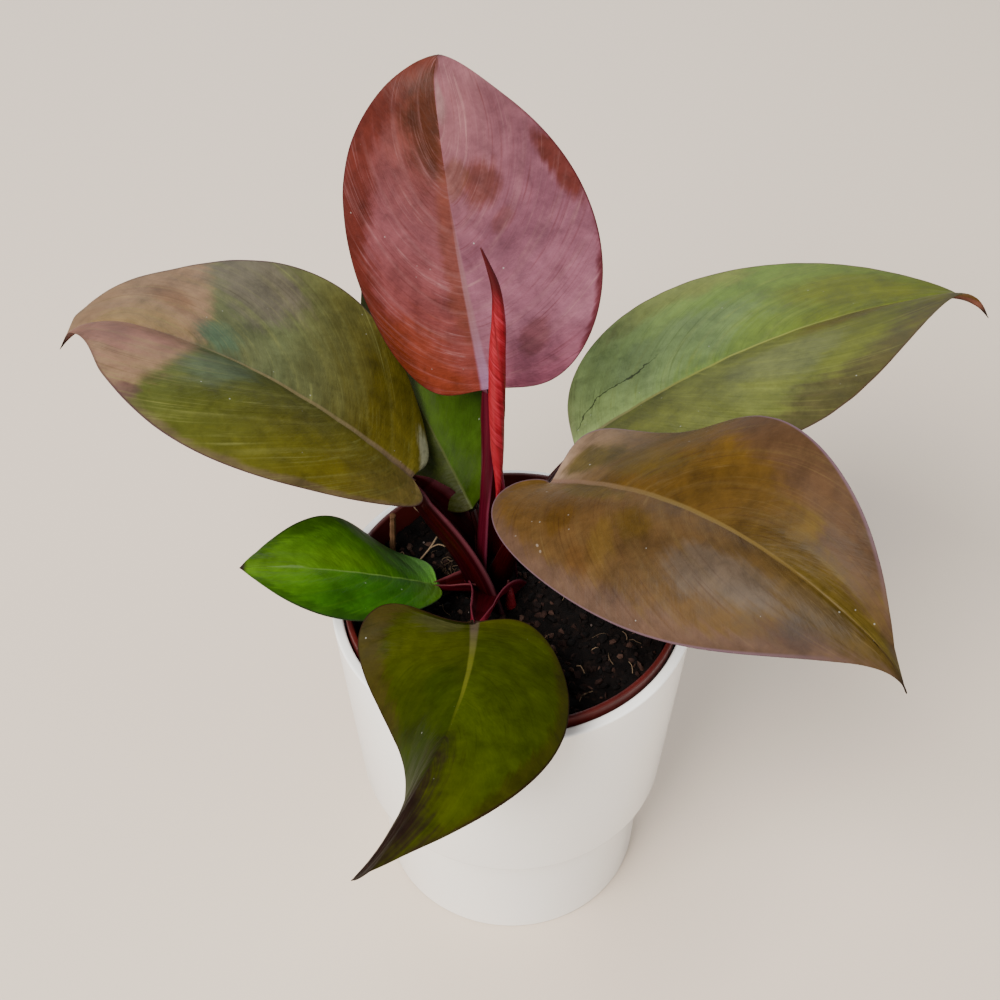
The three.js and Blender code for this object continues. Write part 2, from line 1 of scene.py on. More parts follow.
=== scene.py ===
"""Looks of a potted foliage plant: fine leaves, stalks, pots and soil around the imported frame."""

import math

import bpy
import numpy as np
from bpy.props import FloatProperty, FloatVectorProperty, IntProperty, PointerProperty
from bpy.types import Operator, Panel, PropertyGroup
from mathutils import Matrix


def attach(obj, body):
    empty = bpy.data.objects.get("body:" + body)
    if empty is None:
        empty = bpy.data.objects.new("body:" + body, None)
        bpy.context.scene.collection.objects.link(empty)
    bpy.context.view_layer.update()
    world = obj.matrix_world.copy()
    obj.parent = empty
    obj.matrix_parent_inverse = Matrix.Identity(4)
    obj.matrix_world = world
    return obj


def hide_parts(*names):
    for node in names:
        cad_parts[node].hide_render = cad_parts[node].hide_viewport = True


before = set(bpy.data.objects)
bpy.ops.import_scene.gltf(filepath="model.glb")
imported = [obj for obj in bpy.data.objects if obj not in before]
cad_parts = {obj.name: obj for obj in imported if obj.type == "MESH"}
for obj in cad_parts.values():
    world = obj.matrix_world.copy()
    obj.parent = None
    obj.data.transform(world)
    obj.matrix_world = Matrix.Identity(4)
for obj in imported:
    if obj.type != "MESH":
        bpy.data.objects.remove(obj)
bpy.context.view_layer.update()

bl_info = {
    "name": "Potted Foliage Plant",
    "version": (1, 0, 0),
    "blender": (4, 5, 0),
    "location": "View3D > Sidebar > Plant",
    "description": "Builds the leaves, stalks, pots and soil of a potted foliage plant",
    "category": "Add Mesh",
}

MM = 0.001

# Leaves, in millimetres and degrees. The midrib leaves the foot at heading and rise, bends by droop
# and sweep, and by hook and tip_sweep from the share hook_from on; roll and twist turn the blade
# about it. Fold, unfold and the cups shape the cross-section, and a wave is height, cycles and phase.
# Lobe, lobe_span, heavy, point and heel shape the outline of the left and the right half, and over
# the last share called needle it narrows to a point. A peak is a place along, a spread and a lift.
# The stalk starts at stalk_foot, has its radius there and at the top, and a sheath widens its foot.
LEAVES = {
    "top": dict(
        foot=(-8.5, 20, 219), length=107, left=42.5, right=46, lobe=(0.07, 0.07), lobe_span=(0.12, 0.12),
        heavy=(0.1, 0.1), point=(1.8, 1.8), heel=(1.02, 1.02), needle=0.004, heading=117, rise=62,
        droop=4, hook=45, sweep=-7, tip_sweep=-4, roll=-40, twist=-6, fold=0, unfold=12, cup_left=34,
        cup_right=13, wave_left=(-2, 1.3, -0.05), wave_right=(1, 1.3, 0), stalk_foot=(-7, 9.5, 146),
        stalk_radius=(4.8, 2.8), sheath=0.45),
    "left": dict(
        foot=(-34.5, 18.5, 180.5), length=135, left=49.5, right=52, lobe=(0.08, 0.07),
        lobe_span=(0.1, 0.08), heavy=(0.02, 0.05), point=(2.6, 2.2), heel=(1.04, 1.08), needle=0.06,
        heading=164, rise=40, droop=42, hook=58, hook_from=0.78, sweep=-8, tip_sweep=30, roll=16, twist=9,
        fold=13, unfold=12, cup_left=50, cup_right=1, wave_left=(8, 1.1, 0.03),
        wave_right=(5, 1.5, -0.42), stalk_foot=(-11.5, 10.5, 142), stalk_radius=(3.9, 3), sheath=0.7),
    "right_back": dict(
        foot=(22.5, 44, 171.5), length=156, left=56, right=56, lobe=(0.04, 0.04), lobe_span=(0.15, 0.15),
        heavy=(0.1, 0.1), point=(4.5, 4.5), heel=(0.97, 0.97), needle=0.06, heading=16, rise=32, droop=30,
        hook=60, sweep=-13, tip_sweep=-15, roll=-19, twist=-4, fold=13, unfold=-1, cup_left=13,
        cup_right=28, wave_left=(6, 1.3, -0.18), wave_right=(6, 1.3, 0.08), stalk_foot=(-2.5, 13, 142),
        stalk_radius=(3.6, 2.6), sheath=0.45),
    "right_front": dict(
        foot=(12, 1.5, 194.5), length=149, left=36.5, right=42, lobe=(0.12, 0.12), lobe_span=(0.23, 0.2),
        heavy=(0.3, 0.36), point=(3.6, 3.7), heel=(1.11, 1.12), needle=0.02, heading=-44.5, rise=35,
        droop=65, hook=14, sweep=-11, tip_sweep=-17, roll=-4, twist=25, fold=12, unfold=10, cup_left=3,
        cup_right=57, wave_left=(8.2, 2.1, 0), wave_right=(-11, 1, -0.38), stalk_foot=(-3.5, 6, 147),
        stalk_radius=(3.7, 2.6), sheath=0.45),
    "small": dict(
        foot=(-26.5, 0.2, 145.4), length=70, left=22.5, right=24, lobe=(0.04, 0.04),
        lobe_span=(0.14, 0.14), heavy=(0.14, 0.14), point=(2.4, 2.4), heel=(1.01, 1.01), needle=0.004,
        heading=189, rise=25, droop=19, hook=7, sweep=-3, tip_sweep=0, roll=18, twist=-30, fold=10,
        unfold=0, cup_left=19, cup_right=15, wave_left=(1.6, 1.6, 0), wave_right=(-3, 2.1, -0.4),
        stalk_foot=(-12, 5.5, 140), stalk_radius=(2.7, 1.6), sheath=0.9),
    "front": dict(
        foot=(-13, -28, 158), length=110.5, left=32.5, right=40.5, lobe=(0.08, 0.27),
        lobe_span=(0.11, 0.1), heavy=(0.49, 0.9), point=(2.3, 2.5), heel=(0.99, 0.93), needle=0.02,
        heading=-90, rise=19, droop=29, hook=0, sweep=-62, tip_sweep=-44, roll=3, twist=38, fold=-8,
        unfold=-5, cup_left=33, cup_right=13, wave_left=(6.4, 1.2, 0.16), wave_right=(7, 1, 0.14),
        peak=(0.17, 0.12, (0, -12, 14.3)), stalk_foot=(-7, 3.5, 140.5), stalk_radius=(3.4, 2.4),
        sheath=1.1),
    "back": dict(
        foot=(-14, 19.5, 164.5), length=102, left=15, right=32.5, lobe=(0.0, 0.05),
        lobe_span=(0.13, 0.13), heavy=(0.35, 0.35), point=(2.6, 2.6), heel=(0.95, 0.95), needle=0.004,
        heading=117, rise=18, droop=3, hook=0, sweep=1, tip_sweep=0, roll=-54, twist=8, fold=20, unfold=0,
        cup_left=20, cup_right=20, wave_left=(1, 1.3, 0), wave_right=(1, 1.3, 0),
        stalk_foot=(-9.5, 13.5, 145), stalk_radius=(2.9, 2), sheath=0.45),
}

# Sine waves that the surfaces' smooth noise is made of
NOISE_WAVES = 22

# Midrib: share of the length that it runs on behind the foot, its step, the number of the step at
# the foot, and the share from which a tip hooks down
MIDRIB_BACK = 0.35
MIDRIB_STEP = 0.0125
MIDRIB_FOOT = round(MIDRIB_BACK / MIDRIB_STEP)
HOOK_FROM = 0.86

# Blades: least half width in mm and the share in which it narrows, the share at the tip in which the
# waves die out, how far the side veins bend towards the tip, and the grid of each face
TIP_HALF_WIDTH = 0.22
TIP_NARROWS = 0.05
WAVE_END = 0.08
VEIN_BEND = 0.18
VEIN_BEND_POWER = 1.6
BLADE_ROWS = 170
BLADE_COLUMNS = 71

# Stalks, in mm: how far one runs on under its blade, its radius there, the blade's thickness in the
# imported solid, the share by which its foot is sunk, its rings, and the points of each ring outside
# and inside the sheath
STALK_UNDERLAP = 5.0
STALK_END_RADIUS = 1.1
CAD_BLADE = 0.8
STALK_SUNK = 0.09
STALK_ROWS = 110
SHEATH_OUTSIDE = 50
SHEATH_INSIDE = 30

# Stem, in mm: its axis, radius, foot and top, and how far loose bits keep from the axis
STEM_AXIS = (-6.5, 9.0)
STEM_RADIUS = 7.3
STEM_FOOT = 105.2
STEM_TOP = 150.8
STEM_CLEAR = 9.5

# Rolled leaves: the path's knots and the radii along it in mm, how often the seam winds round, its
# step as a share of the radius, and the grid
ROLLED = {
    "rolled_leaf": dict(
        knots=[(-5.8, 10, 173), (-5.1, 7, 187), (-5.4, 6.6, 212), (-5.5, 7.8, 240), (-5.1, 8.8, 258),
               (-5.9, 9.6, 268.5), (-7.9, 10.4, 275), (-10.1, 11.2, 281)],
        radii=(0.5, 0.7, 1.5, 2.4, 2.65, 2.8, 2.85, 2.7, 2.1, 1.2, 0.25), turns=1.1, seam_step=0.13,
        rows=150, columns=56),
    "side_bud": dict(
        knots=[(-0.6, -0.6, 131), (-0.8, -0.8, 138), (-1.2, 0, 143), (-1.6, 1, 147.5)],
        radii=(1.6, 2.2, 1.7, 0.35), turns=0.6, seam_step=0.12, rows=50, columns=40),
}

# Dry stalk: the path's knots and its radius at the foot in mm
DRY_KNOTS = [(-43.5, 26.5, 118), (-43.9, 25.8, 135), (-43.2, 24, 147), (-42.4, 20.5, 160)]
DRY_RADIUS = 1.15

# Pots: corners of each profile from the axis back to it, as radius and height in mm, how far each
# corner is rounded, the points on a corner and the points round a pot
CACHEPOT_CORNERS = [(0, 0), (50.5, 0), (52, 54), (58, 54), (63.8, 141), (60, 141), (54.2, 58),
                    (47.5, 58), (47.5, 4), (0, 4)]
CACHEPOT_ROUNDING = 1.1
NURSERY_CORNERS = [(0, 58.3), (50, 58.3), (57, 134), (59.2, 134.4), (59.2, 144), (57.4, 144),
                   (55.7, 133), (48.7, 59.6), (0, 59.6)]
NURSERY_ROUNDING = 0.7
CORNER_POINTS = 5
POT_COLUMNS = 240

# Soil, in mm: its mean height and its radius there, the shares of that radius and the heights of
# its wall, its grid, and the seed of what lies on it
SOIL_TOP = 134.9
SOIL_RADIUS = 55.2
SOIL_WALL = ((0.99, 128.0), (0.876, 60.2))
SOIL_ROWS = 110
SOIL_COLUMNS = 300
SOIL_SEED = 20

# On the soil, in mm: how far from the pot's axis bits and fibres are placed and a fibre may reach,
# the points along a fibre, the place, spread and number of the roots in the tangle, and the knots
# of the long strands
BIT_REACH = 53.5
FIBRE_REACH = 50.0
FIBRE_LIMIT = 53.0
FIBRE_POINTS = 12
TANGLE_PLACE = (-22.7, 17.5)
TANGLE_SPREAD = 1.9
TANGLE_ROOTS = 26
STRANDS = [
    [(-36.6, 43.4, 141), (-32.5, 40.1, 138.6), (-28.7, 35.1, 136.4)],
    [(-33.7, 21, 136.2), (-30.2, 25.7, 137.5), (-27.7, 30.4, 138.5)],
    [(-30.2, 25.7, 137.5), (-27, 27, 138), (-24, 26.7, 137)],
]

# Stage: lights with their place and side in metres and their power in watts, the point they look at,
# the sky, and the camera's place, tilt in degrees, lens and sensor in mm
LIGHTS = {
    "key": dict(place=(-1.1, -1.3, 2.1), size=1.5, power=185.0, colour=(1.0, 0.97, 0.93)),
    "window": dict(place=(-0.2, 1.9, 1.5), size=1.6, power=28.0, colour=(0.93, 0.97, 1.0)),
    "fill": dict(place=(1.5, -0.6, 1.1), size=1.2, power=12.0, colour=(1.0, 0.98, 0.95)),
}
PLANT_MIDDLE = (0.0, 0.0, 0.18)
SKY_COLOUR = (0.86, 0.93, 1.0)
SKY_STRENGTH = 0.6
CAMERA_PLACE = (-0.0045, -0.3506, 0.5387)
CAMERA_TILT = 45.0
CAMERA_LENS = 54.0
CAMERA_SENSOR = 36.0
CAMERA_CLIP = 0.01

# Finish of each blade. Colours are linear, as seen in daylight; BLADE_TONE turns them into the share
# of light that the surface gives back. The halves' tones stand at the stops along the length. Streaks
# and darks are the strengths of the pale and dark lines. The midrib has its tone at the foot and near
# the tip, its end as a share of the length and its width in mm. A tip zone lies past tip_from, and
# its border leans by tip_slope. From dark_from on, the tip turns dark. Under is the lower face, and
# a crack is a thin dark line at that place across. A mark is a soft ragged patch: its place along and
# across (from -1 on the right margin to 1 on the left one), its half length and half width in the
# same shares, its strength and its colour.
# Some tones and marks below also carry painted sheen, painted reflection and painted light, each noted
# where it stands.
BLADE_TONE = 0.36
BLADE_SHEEN = 0.08
STALK_SHEEN = 0.07
TIP_TONE = (0.012, 0.006, 0.004)
DARK_FROM = 0.955
DARK_BLEND = 0.03
RIB_BELOW = (0.40, 0.14, 0.11)
CRACK_TONE = (0.012, 0.012, 0.004)
DUST_TONE = (0.30, 0.30, 0.27)
FINISHES = {
    "top": dict(
        dark_from=0.978,
        stops=(0.0, 0.35, 0.6, 0.85),
        left=((0.29, 0.035, 0.014), (0.27, 0.058, 0.050), (0.31, 0.092, 0.105), (0.19, 0.045, 0.028)),
        # The right half's mauve tones are partly the leaf's own colour and partly a painted reflection.
        right=((0.36, 0.075, 0.13), (0.40, 0.15, 0.21), (0.30, 0.105, 0.15), (0.32, 0.12, 0.14)),
        streak=(0.56, 0.27, 0.27), streaks=0.42, dark=(0.15, 0.025, 0.02), darks=0.45,
        rib=(0.42, 0.21, 0.36), rib_tip=(0.38, 0.17, 0.19), rib_end=0.76, rib_width=3.0,
        margin=(0.12, 0.015, 0.02), under=(0.22, 0.045, 0.04),
        marks=(
            (0.88, 0.32, 0.14, 0.52, 1.0, (0.10, 0.022, 0.006)),
            (0.50, 1.0, 0.50, 0.30, 0.85, (0.16, 0.022, 0.010)),
            (0.24, 0.62, 0.20, 0.42, 0.6, (0.27, 0.042, 0.01)),
            (0.58, 0.05, 0.26, 0.13, 0.6, (0.22, 0.05, 0.02)),
            (0.71, -0.36, 0.065, 0.24, 0.8, (0.17, 0.04, 0.025)),
            (0.76, -0.10, 0.05, 0.26, 0.6, (0.23, 0.085, 0.05)),
            (0.62, -0.42, 0.025, 0.12, 0.5, (0.19, 0.05, 0.04)),
            (0.31, -0.50, 0.06, 0.14, 0.5, (0.20, 0.05, 0.045)),
            (0.62, -0.95, 0.08, 0.09, 0.9, (0.17, 0.028, 0.015)),
            (0.36, -1.0, 0.14, 0.07, 0.85, (0.12, 0.008, 0.012)),
            (0.90, -0.22, 0.05, 0.30, 0.5, (0.42, 0.25, 0.24)),
            (0.975, -0.50, 0.03, 0.45, 0.7, (0.15, 0.04, 0.02)),
        )),
    "left": dict(
        stops=(0.05, 0.35, 0.6, 0.8),
        # At the foot both halves' tones are raised: painted light over the shade that the top leaf casts,
        # and on the right half a painted sheen as well.
        left=((0.26, 0.17, 0.05), (0.16, 0.13, 0.006), (0.11, 0.12, 0.012), (0.11, 0.14, 0.05)),
        right=((0.26, 0.20, 0.02), (0.12, 0.09, 0.001), (0.16, 0.18, 0.07), (0.10, 0.10, 0.04)),
        streak=(0.36, 0.36, 0.10), streaks=0.42, dark=(0.06, 0.045, 0.003), darks=0.35,
        rib=(0.25, 0.155, 0.10), rib_tip=(0.34, 0.26, 0.11), rib_end=0.84, rib_width=3.3,
        margin=(0.09, 0.03, 0.045), under=(0.22, 0.04, 0.02),
        tip_zone=(0.34, 0.20, 0.11), tip_from=0.765, tip_slope=0.11,
        marks=(
            (0.86, 0.60, 0.20, 0.55, 0.8, (0.36, 0.15, 0.115)),
            (0.86, -0.35, 0.12, 0.40, 0.5, (0.36, 0.23, 0.07)),
            (0.745, -0.62, 0.035, 0.28, 0.6, (0.22, 0.10, 0.045)),
            (0.60, -0.80, 0.10, 0.40, 0.75, (0.18, 0.14, 0.11)),
            (0.715, -0.22, 0.05, 0.24, 0.8, (0.085, 0.15, 0.08)),
            (0.665, 0.35, 0.06, 0.34, 0.7, (0.12, 0.17, 0.09)),
            # Painted sheen: a pale patch on the right lobe near the foot.
            (0.12, -0.82, 0.09, 0.26, 0.8, (0.75, 0.72, 0.48)),
            (0.04, -0.05, 0.03, 0.07, 0.9, (0.06, 0.02, 0.015)),
            (0.66, 0.96, 0.018, 0.08, 0.6, (0.14, 0.05, 0.07)),
            (0.40, 1.0, 0.42, 0.08, 0.5, (0.20, 0.12, 0.09)),
        )),
    "right_back": dict(
        stops=(0.05, 0.32, 0.52, 0.8),
        # The left half's first two tones are raised and pale: painted sheen and painted light over the
        # shade that the top leaf casts.
        left=((0.52, 0.66, 0.24), (0.50, 0.69, 0.21), (0.21, 0.33, 0.055), (0.13, 0.16, 0.001)),
        right=((0.19, 0.21, 0.05), (0.15, 0.16, 0.025), (0.17, 0.19, 0.04), (0.12, 0.13, 0.002)),
        streak=(0.38, 0.42, 0.08), streaks=0.42, dark=(0.07, 0.09, 0.003), darks=0.4,
        rib=(0.34, 0.26, 0.14), rib_tip=(0.38, 0.40, 0.07), rib_end=0.92, rib_width=1.8,
        margin=(0.10, 0.05, 0.03), under=(0.34, 0.17, 0.02), crack=0.37,
        marks=(
            (0.08, 0.92, 0.14, 0.26, 0.35, (0.14, 0.15, 0.02)),
            (0.42, 0.92, 0.14, 0.20, 0.5, (0.34, 0.30, 0.06)),
            (0.74, 0.62, 0.14, 0.30, 0.7, (0.17, 0.18, 0.001)),
            (0.80, 0.22, 0.11, 0.25, 0.6, (0.17, 0.20, 0.001)),
            (0.80, -0.20, 0.13, 0.24, 0.85, (0.13, 0.10, 0.0005)),
            # Painted sheen: a pale blue-grey patch on the left half.
            (0.45, 0.35, 0.20, 0.35, 0.35, (0.28, 0.38, 0.20)),
            (0.62, -0.45, 0.10, 0.28, 0.5, (0.22, 0.24, 0.09)),
            (0.50, -1.0, 0.55, 0.28, 0.7, (0.085, 0.055, 0.025)),
        )),
    "right_front": dict(
        stops=(0.05, 0.35, 0.65, 0.9),
        left=((0.46, 0.30, 0.20), (0.125, 0.062, 0.004), (0.125, 0.062, 0.007), (0.16, 0.11, 0.012)),
        right=((0.20, 0.10, 0.015), (0.15, 0.075, 0.02), (0.125, 0.065, 0.018), (0.09, 0.052, 0.002)),
        streak=(0.23, 0.15, 0.05), streaks=0.34, dark=(0.07, 0.025, 0.006), darks=0.45,
        rib=(0.28, 0.15, 0.10), rib_tip=(0.24, 0.15, 0.035), rib_end=0.99, rib_width=2.4,
        margin=(0.24, 0.14, 0.18), under=(0.20, 0.05, 0.045),
        marks=(
            (0.20, 0.40, 0.12, 0.34, 0.8, (0.11, 0.08, 0.004)),
            (0.52, 0.62, 0.07, 0.28, 0.7, (0.17, 0.085, 0.006)),
            (0.42, 0.35, 0.10, 0.26, 0.7, (0.13, 0.08, 0.006)),
            (0.64, 0.92, 0.28, 0.32, 0.7, (0.12, 0.058, 0.032)),
            (0.67, -0.56, 0.10, 0.26, 0.7, (0.16, 0.115, 0.08)),
            (0.80, -0.50, 0.08, 0.25, 0.4, (0.12, 0.08, 0.04)),
            (0.35, -0.46, 0.04, 0.24, 0.75, (0.14, 0.065, 0.006)),
            (0.46, -0.53, 0.03, 0.28, 0.6, (0.18, 0.10, 0.015)),
            (0.51, -0.30, 0.045, 0.16, 0.7, (0.12, 0.065, 0.004)),
            (0.43, -0.72, 0.03, 0.14, 0.5, (0.12, 0.045, 0.004)),
            (0.35, -0.12, 0.18, 0.13, 0.6, (0.12, 0.08, 0.002)),
            (0.50, -1.0, 0.50, 0.22, 0.7, (0.155, 0.085, 0.06)),
            (0.72, -0.84, 0.07, 0.12, 0.5, (0.07, 0.03, 0.015)),
            (0.345, -0.79, 0.0035, 0.012, 0.7, (0.50, 0.40, 0.32)),
            (0.356, -0.815, 0.003, 0.014, 0.6, (0.45, 0.36, 0.28)),
            (0.89, -0.25, 0.08, 0.30, 0.6, (0.09, 0.055, 0.001)),
            (0.96, 0.4, 0.07, 1.1, 0.8, (0.05, 0.022, 0.003)),
            (0.96, -0.4, 0.07, 1.1, 0.8, (0.05, 0.022, 0.003)),
        )),
    "small": dict(
        stops=(0.05, 0.35, 0.6, 0.9),
        left=((0.13, 0.28, 0.015), (0.022, 0.12, 0.0005), (0.042, 0.18, 0.0005), (0.15, 0.34, 0.006)),
        right=((0.13, 0.36, 0.04), (0.024, 0.10, 0.0005), (0.07, 0.19, 0.0005), (0.12, 0.26, 0.01)),
        streak=(0.15, 0.32, 0.02), streaks=0.22, dark=(0.012, 0.05, 0.0005), darks=0.3,
        rib=(0.11, 0.24, 0.02), rib_tip=(0.18, 0.34, 0.06), rib_end=0.97, rib_width=0.75,
        margin=(0.02, 0.03, 0.01), under=(0.10, 0.12, 0.03),
        marks=(
            (0.62, -0.28, 0.17, 0.28, 0.4, (0.10, 0.20, 0.004)),
            (0.55, -1.0, 0.35, 0.24, 0.6, (0.02, 0.06, 0.002)),
            # Painted sheen: a pale stripe near the tip beside the midrib.
            (0.86, -0.06, 0.09, 0.12, 0.5, (0.24, 0.38, 0.14)),
            (0.60, 1.0, 0.35, 0.14, 0.6, (0.02, 0.06, 0.004)),
        )),
    "front": dict(
        stops=(0.05, 0.3, 0.6, 0.9),
        left=((0.075, 0.08, 0.003), (0.062, 0.085, 0.0005), (0.07, 0.10, 0.0005), (0.055, 0.05, 0.002)),
        right=((0.055, 0.066, 0.005), (0.065, 0.075, 0.001), (0.035, 0.06, 0.0005), (0.02, 0.03, 0.0005)),
        streak=(0.09, 0.115, 0.003), streaks=0.22, dark=(0.02, 0.03, 0.0005), darks=0.35,
        rib=(0.17, 0.12, 0.08), rib_tip=(0.20, 0.21, 0.02), rib_end=0.68, rib_width=2.2,
        margin=(0.035, 0.012, 0.008), under=(0.12, 0.03, 0.02), sheen=0.02,
        marks=(
            (0.26, -1.0, 0.28, 0.26, 0.7, (0.08, 0.050, 0.012)),
            (0.46, -0.28, 0.10, 0.22, 0.5, (0.028, 0.05, 0.0005)),
            (0.62, -0.20, 0.20, 0.30, 0.4, (0.06, 0.085, 0.0005)),
            # Painted sheen: a pale grey patch near the foot on the right half.
            (0.12, -0.38, 0.11, 0.36, 0.5, (0.10, 0.09, 0.04)),
            (0.40, 1.0, 0.40, 0.16, 0.6, (0.06, 0.040, 0.006)),
            (1.0, 0.0, 0.30, 2.0, 0.95, (0.026, 0.010, 0.009)),
        )),
    "back": dict(
        stops=(0.0, 0.4, 0.8, 1.0),
        left=((0.05, 0.05, 0.004), (0.045, 0.06, 0.004), (0.04, 0.05, 0.004), (0.02, 0.02, 0.003)),
        right=((0.05, 0.09, 0.006), (0.055, 0.12, 0.008), (0.05, 0.09, 0.005), (0.04, 0.05, 0.006)),
        streak=(0.07, 0.12, 0.01), streaks=0.25, dark=(0.02, 0.025, 0.002), darks=0.4,
        rib=(0.10, 0.12, 0.03), rib_tip=(0.10, 0.12, 0.03), rib_end=0.9, rib_width=1.0,
        margin=(0.03, 0.015, 0.008), under=(0.10, 0.03, 0.02), marks=()),
}

# Stalks: linear colours outside, inside the sheath and along its edges
STALK_COLOURS = {
    "top": ((0.10, 0.004, 0.014), (0.13, 0.001, 0.005), (0.26, 0.04, 0.08)),
    "left": ((0.034, 0.0006, 0.003), (0.048, 0.0006, 0.0018), (0.20, 0.045, 0.06)),
    "right_back": ((0.030, 0.002, 0.003), (0.03, 0.001, 0.002), (0.15, 0.05, 0.05)),
    "right_front": ((0.035, 0.0006, 0.001), (0.04, 0.001, 0.001), (0.15, 0.03, 0.03)),
    "small": ((0.050, 0.001, 0.004), (0.035, 0.0005, 0.001), (0.26, 0.06, 0.07)),
    "front": ((0.20, 0.006, 0.022), (0.05, 0.001, 0.004), (0.30, 0.06, 0.09)),
    "back": ((0.015, 0.001, 0.001), (0.02, 0.001, 0.001), (0.10, 0.03, 0.03)),
}

# Sheaths: share of the stalk that has one, opening angle from the top, wing height, ripples, swelling
# of the sheathed part, and where the opening faces when it isn't the blade's upper side
STALK_SHAPES = {
    "top": dict(sheath_end=0.62, opening=0.75, wing=0.3, waves=2, swell=0.15, facing=(0.62, -0.78, 0.1)),
    "left": dict(sheath_end=0.97, opening=1.0, wing=0.7, waves=0.6, swell=0.9, facing=(0.84, 0.1, 0.48)),
    "right_back": dict(sheath_end=0.85, opening=0.8, wing=0.6, waves=2, swell=0.0),
    "right_front": dict(sheath_end=0.6, opening=0.6, wing=0.2, waves=2, swell=0.0),
    "small": dict(sheath_end=0.85, opening=0.9, wing=0.5, waves=2, swell=0.4),
    "front": dict(sheath_end=0.85, opening=1.0, wing=0.45, waves=2.4, swell=0.25),
    "back": dict(sheath_end=0.5, opening=0.6, wing=0.2, waves=2, swell=0.0),
}


class PlantSizes(PropertyGroup):
    blade_thickness: FloatProperty(
        name="Blade thickness", description="Thickness of a blade away from its midrib",
        default=0.0005, min=0.0003, max=0.001, unit="LENGTH")
    rib_height: FloatProperty(
        name="Midrib height", description="How far the midrib stands below the blade at its foot",
        default=0.0013, min=0.0, max=0.003, unit="LENGTH")
    vein_relief: FloatProperty(
        name="Vein relief", description="Depth of the side veins pressed into the blade",
        default=0.00016, min=0.0, max=0.0005, unit="LENGTH")
    side_veins: IntProperty(
        name="Side veins", description="Side veins on each half of a blade", default=9, min=4, max=20)
    bark_chips: IntProperty(
        name="Bark chips", description="Chips lying on the soil", default=1300, min=0, max=3000)
    grains: IntProperty(
        name="White grains", description="Pale grains lying on the soil", default=16, min=0, max=400)
    fibres: IntProperty(
        name="Fibres", description="Thin fibres lying on the soil", default=40, min=0, max=300)
    floor_size: FloatProperty(
        name="Floor size", description="Side of the square floor", default=6.0, min=1.0, unit="LENGTH")


class PlantColours(PropertyGroup):
    glaze: FloatVectorProperty(
        name="Glaze", description="Glaze of the cachepot", subtype="COLOR", size=3,
        min=0.0, max=1.0, default=(0.86, 0.85, 0.82))
    terracotta: FloatVectorProperty(
        name="Nursery pot", description="Plastic of the nursery pot", subtype="COLOR", size=3,
        min=0.0, max=1.0, default=(0.055, 0.005, 0.0035))
    soil: FloatVectorProperty(
        name="Soil", description="Fine part of the soil", subtype="COLOR", size=3,
        min=0.0, max=1.0, default=(0.0022, 0.0010, 0.0007))
    spear: FloatVectorProperty(
        name="Rolled leaf", description="Rolled new leaf", subtype="COLOR", size=3,
        min=0.0, max=1.0, default=(0.22, 0.0075, 0.013))
    dry: FloatVectorProperty(
        name="Dry stalk", description="Dry flower stalk", subtype="COLOR", size=3,
        min=0.0, max=1.0, default=(0.15, 0.075, 0.035))
    floor: FloatVectorProperty(
        name="Floor", description="Floor under the pot", subtype="COLOR", size=3,
        min=0.0, max=1.0, default=(0.58, 0.48, 0.385))


class PlantSettings(PropertyGroup):
    sizes: PointerProperty(type=PlantSizes, name="Sizes", description="Sizes of the plant's detail")
    colours: PointerProperty(type=PlantColours, name="Colours", description="Colours of the pieces")


# Meshes

def unit(array):
    """Vectors divided by their length."""
    return array / np.maximum(np.linalg.norm(array, axis=-1, keepdims=True), 1e-12)


def turn(vector, axis, angle):
    """Vector turned about a unit axis at right angles to it: v cos a + (axis x v) sin a."""
    return vector * math.cos(angle) + np.cross(axis, vector) * math.sin(angle)


def rising(value, span):
    """Straight rise from 0 at zero to 1 at the span, held at both ends."""
    return np.clip(value / span, 0, 1)


def full_turn(count):
    """Angles evenly spaced round a full turn."""
    return np.linspace(0.0, 2 * np.pi, count, endpoint=False)


def grid_quads(rows, columns, wrap=False):
    """Quads of a grid of points, row by row; a wrapped grid closes on itself across."""
    i, j = np.meshgrid(np.arange(rows - 1), np.arange(columns if wrap else columns - 1), indexing="ij")
    after = (j + 1) % columns
    quads = np.stack([i * columns + j, (i + 1) * columns + j, (i + 1) * columns + after,
                      i * columns + after], axis=-1)
    return quads.reshape(-1, 4)


def closed_body(rings, first, last, downwards=False):
    """Points and faces of rings that run anticlockwise round an axis, each end closed to a point.

    The rings climb along the outside; with downwards they come down it, and the faces turn round.
    """
    rows, columns = rings.shape[:2]
    verts = np.concatenate([rings.reshape(-1, 3), [first, last]])
    j = np.arange(columns)
    after = (j + 1) % columns
    base = (rows - 1) * columns
    start = np.stack([np.full(columns, rows * columns), after, j], axis=-1)
    end = np.stack([np.full(columns, rows * columns + 1), base + j, base + after], axis=-1)
    quads = grid_quads(rows, columns, wrap=True)[:, ::-1]
    faces = [*start.tolist(), *quads.tolist(), *end.tolist()]
    return verts, [face[::-1] for face in faces] if downwards else faces


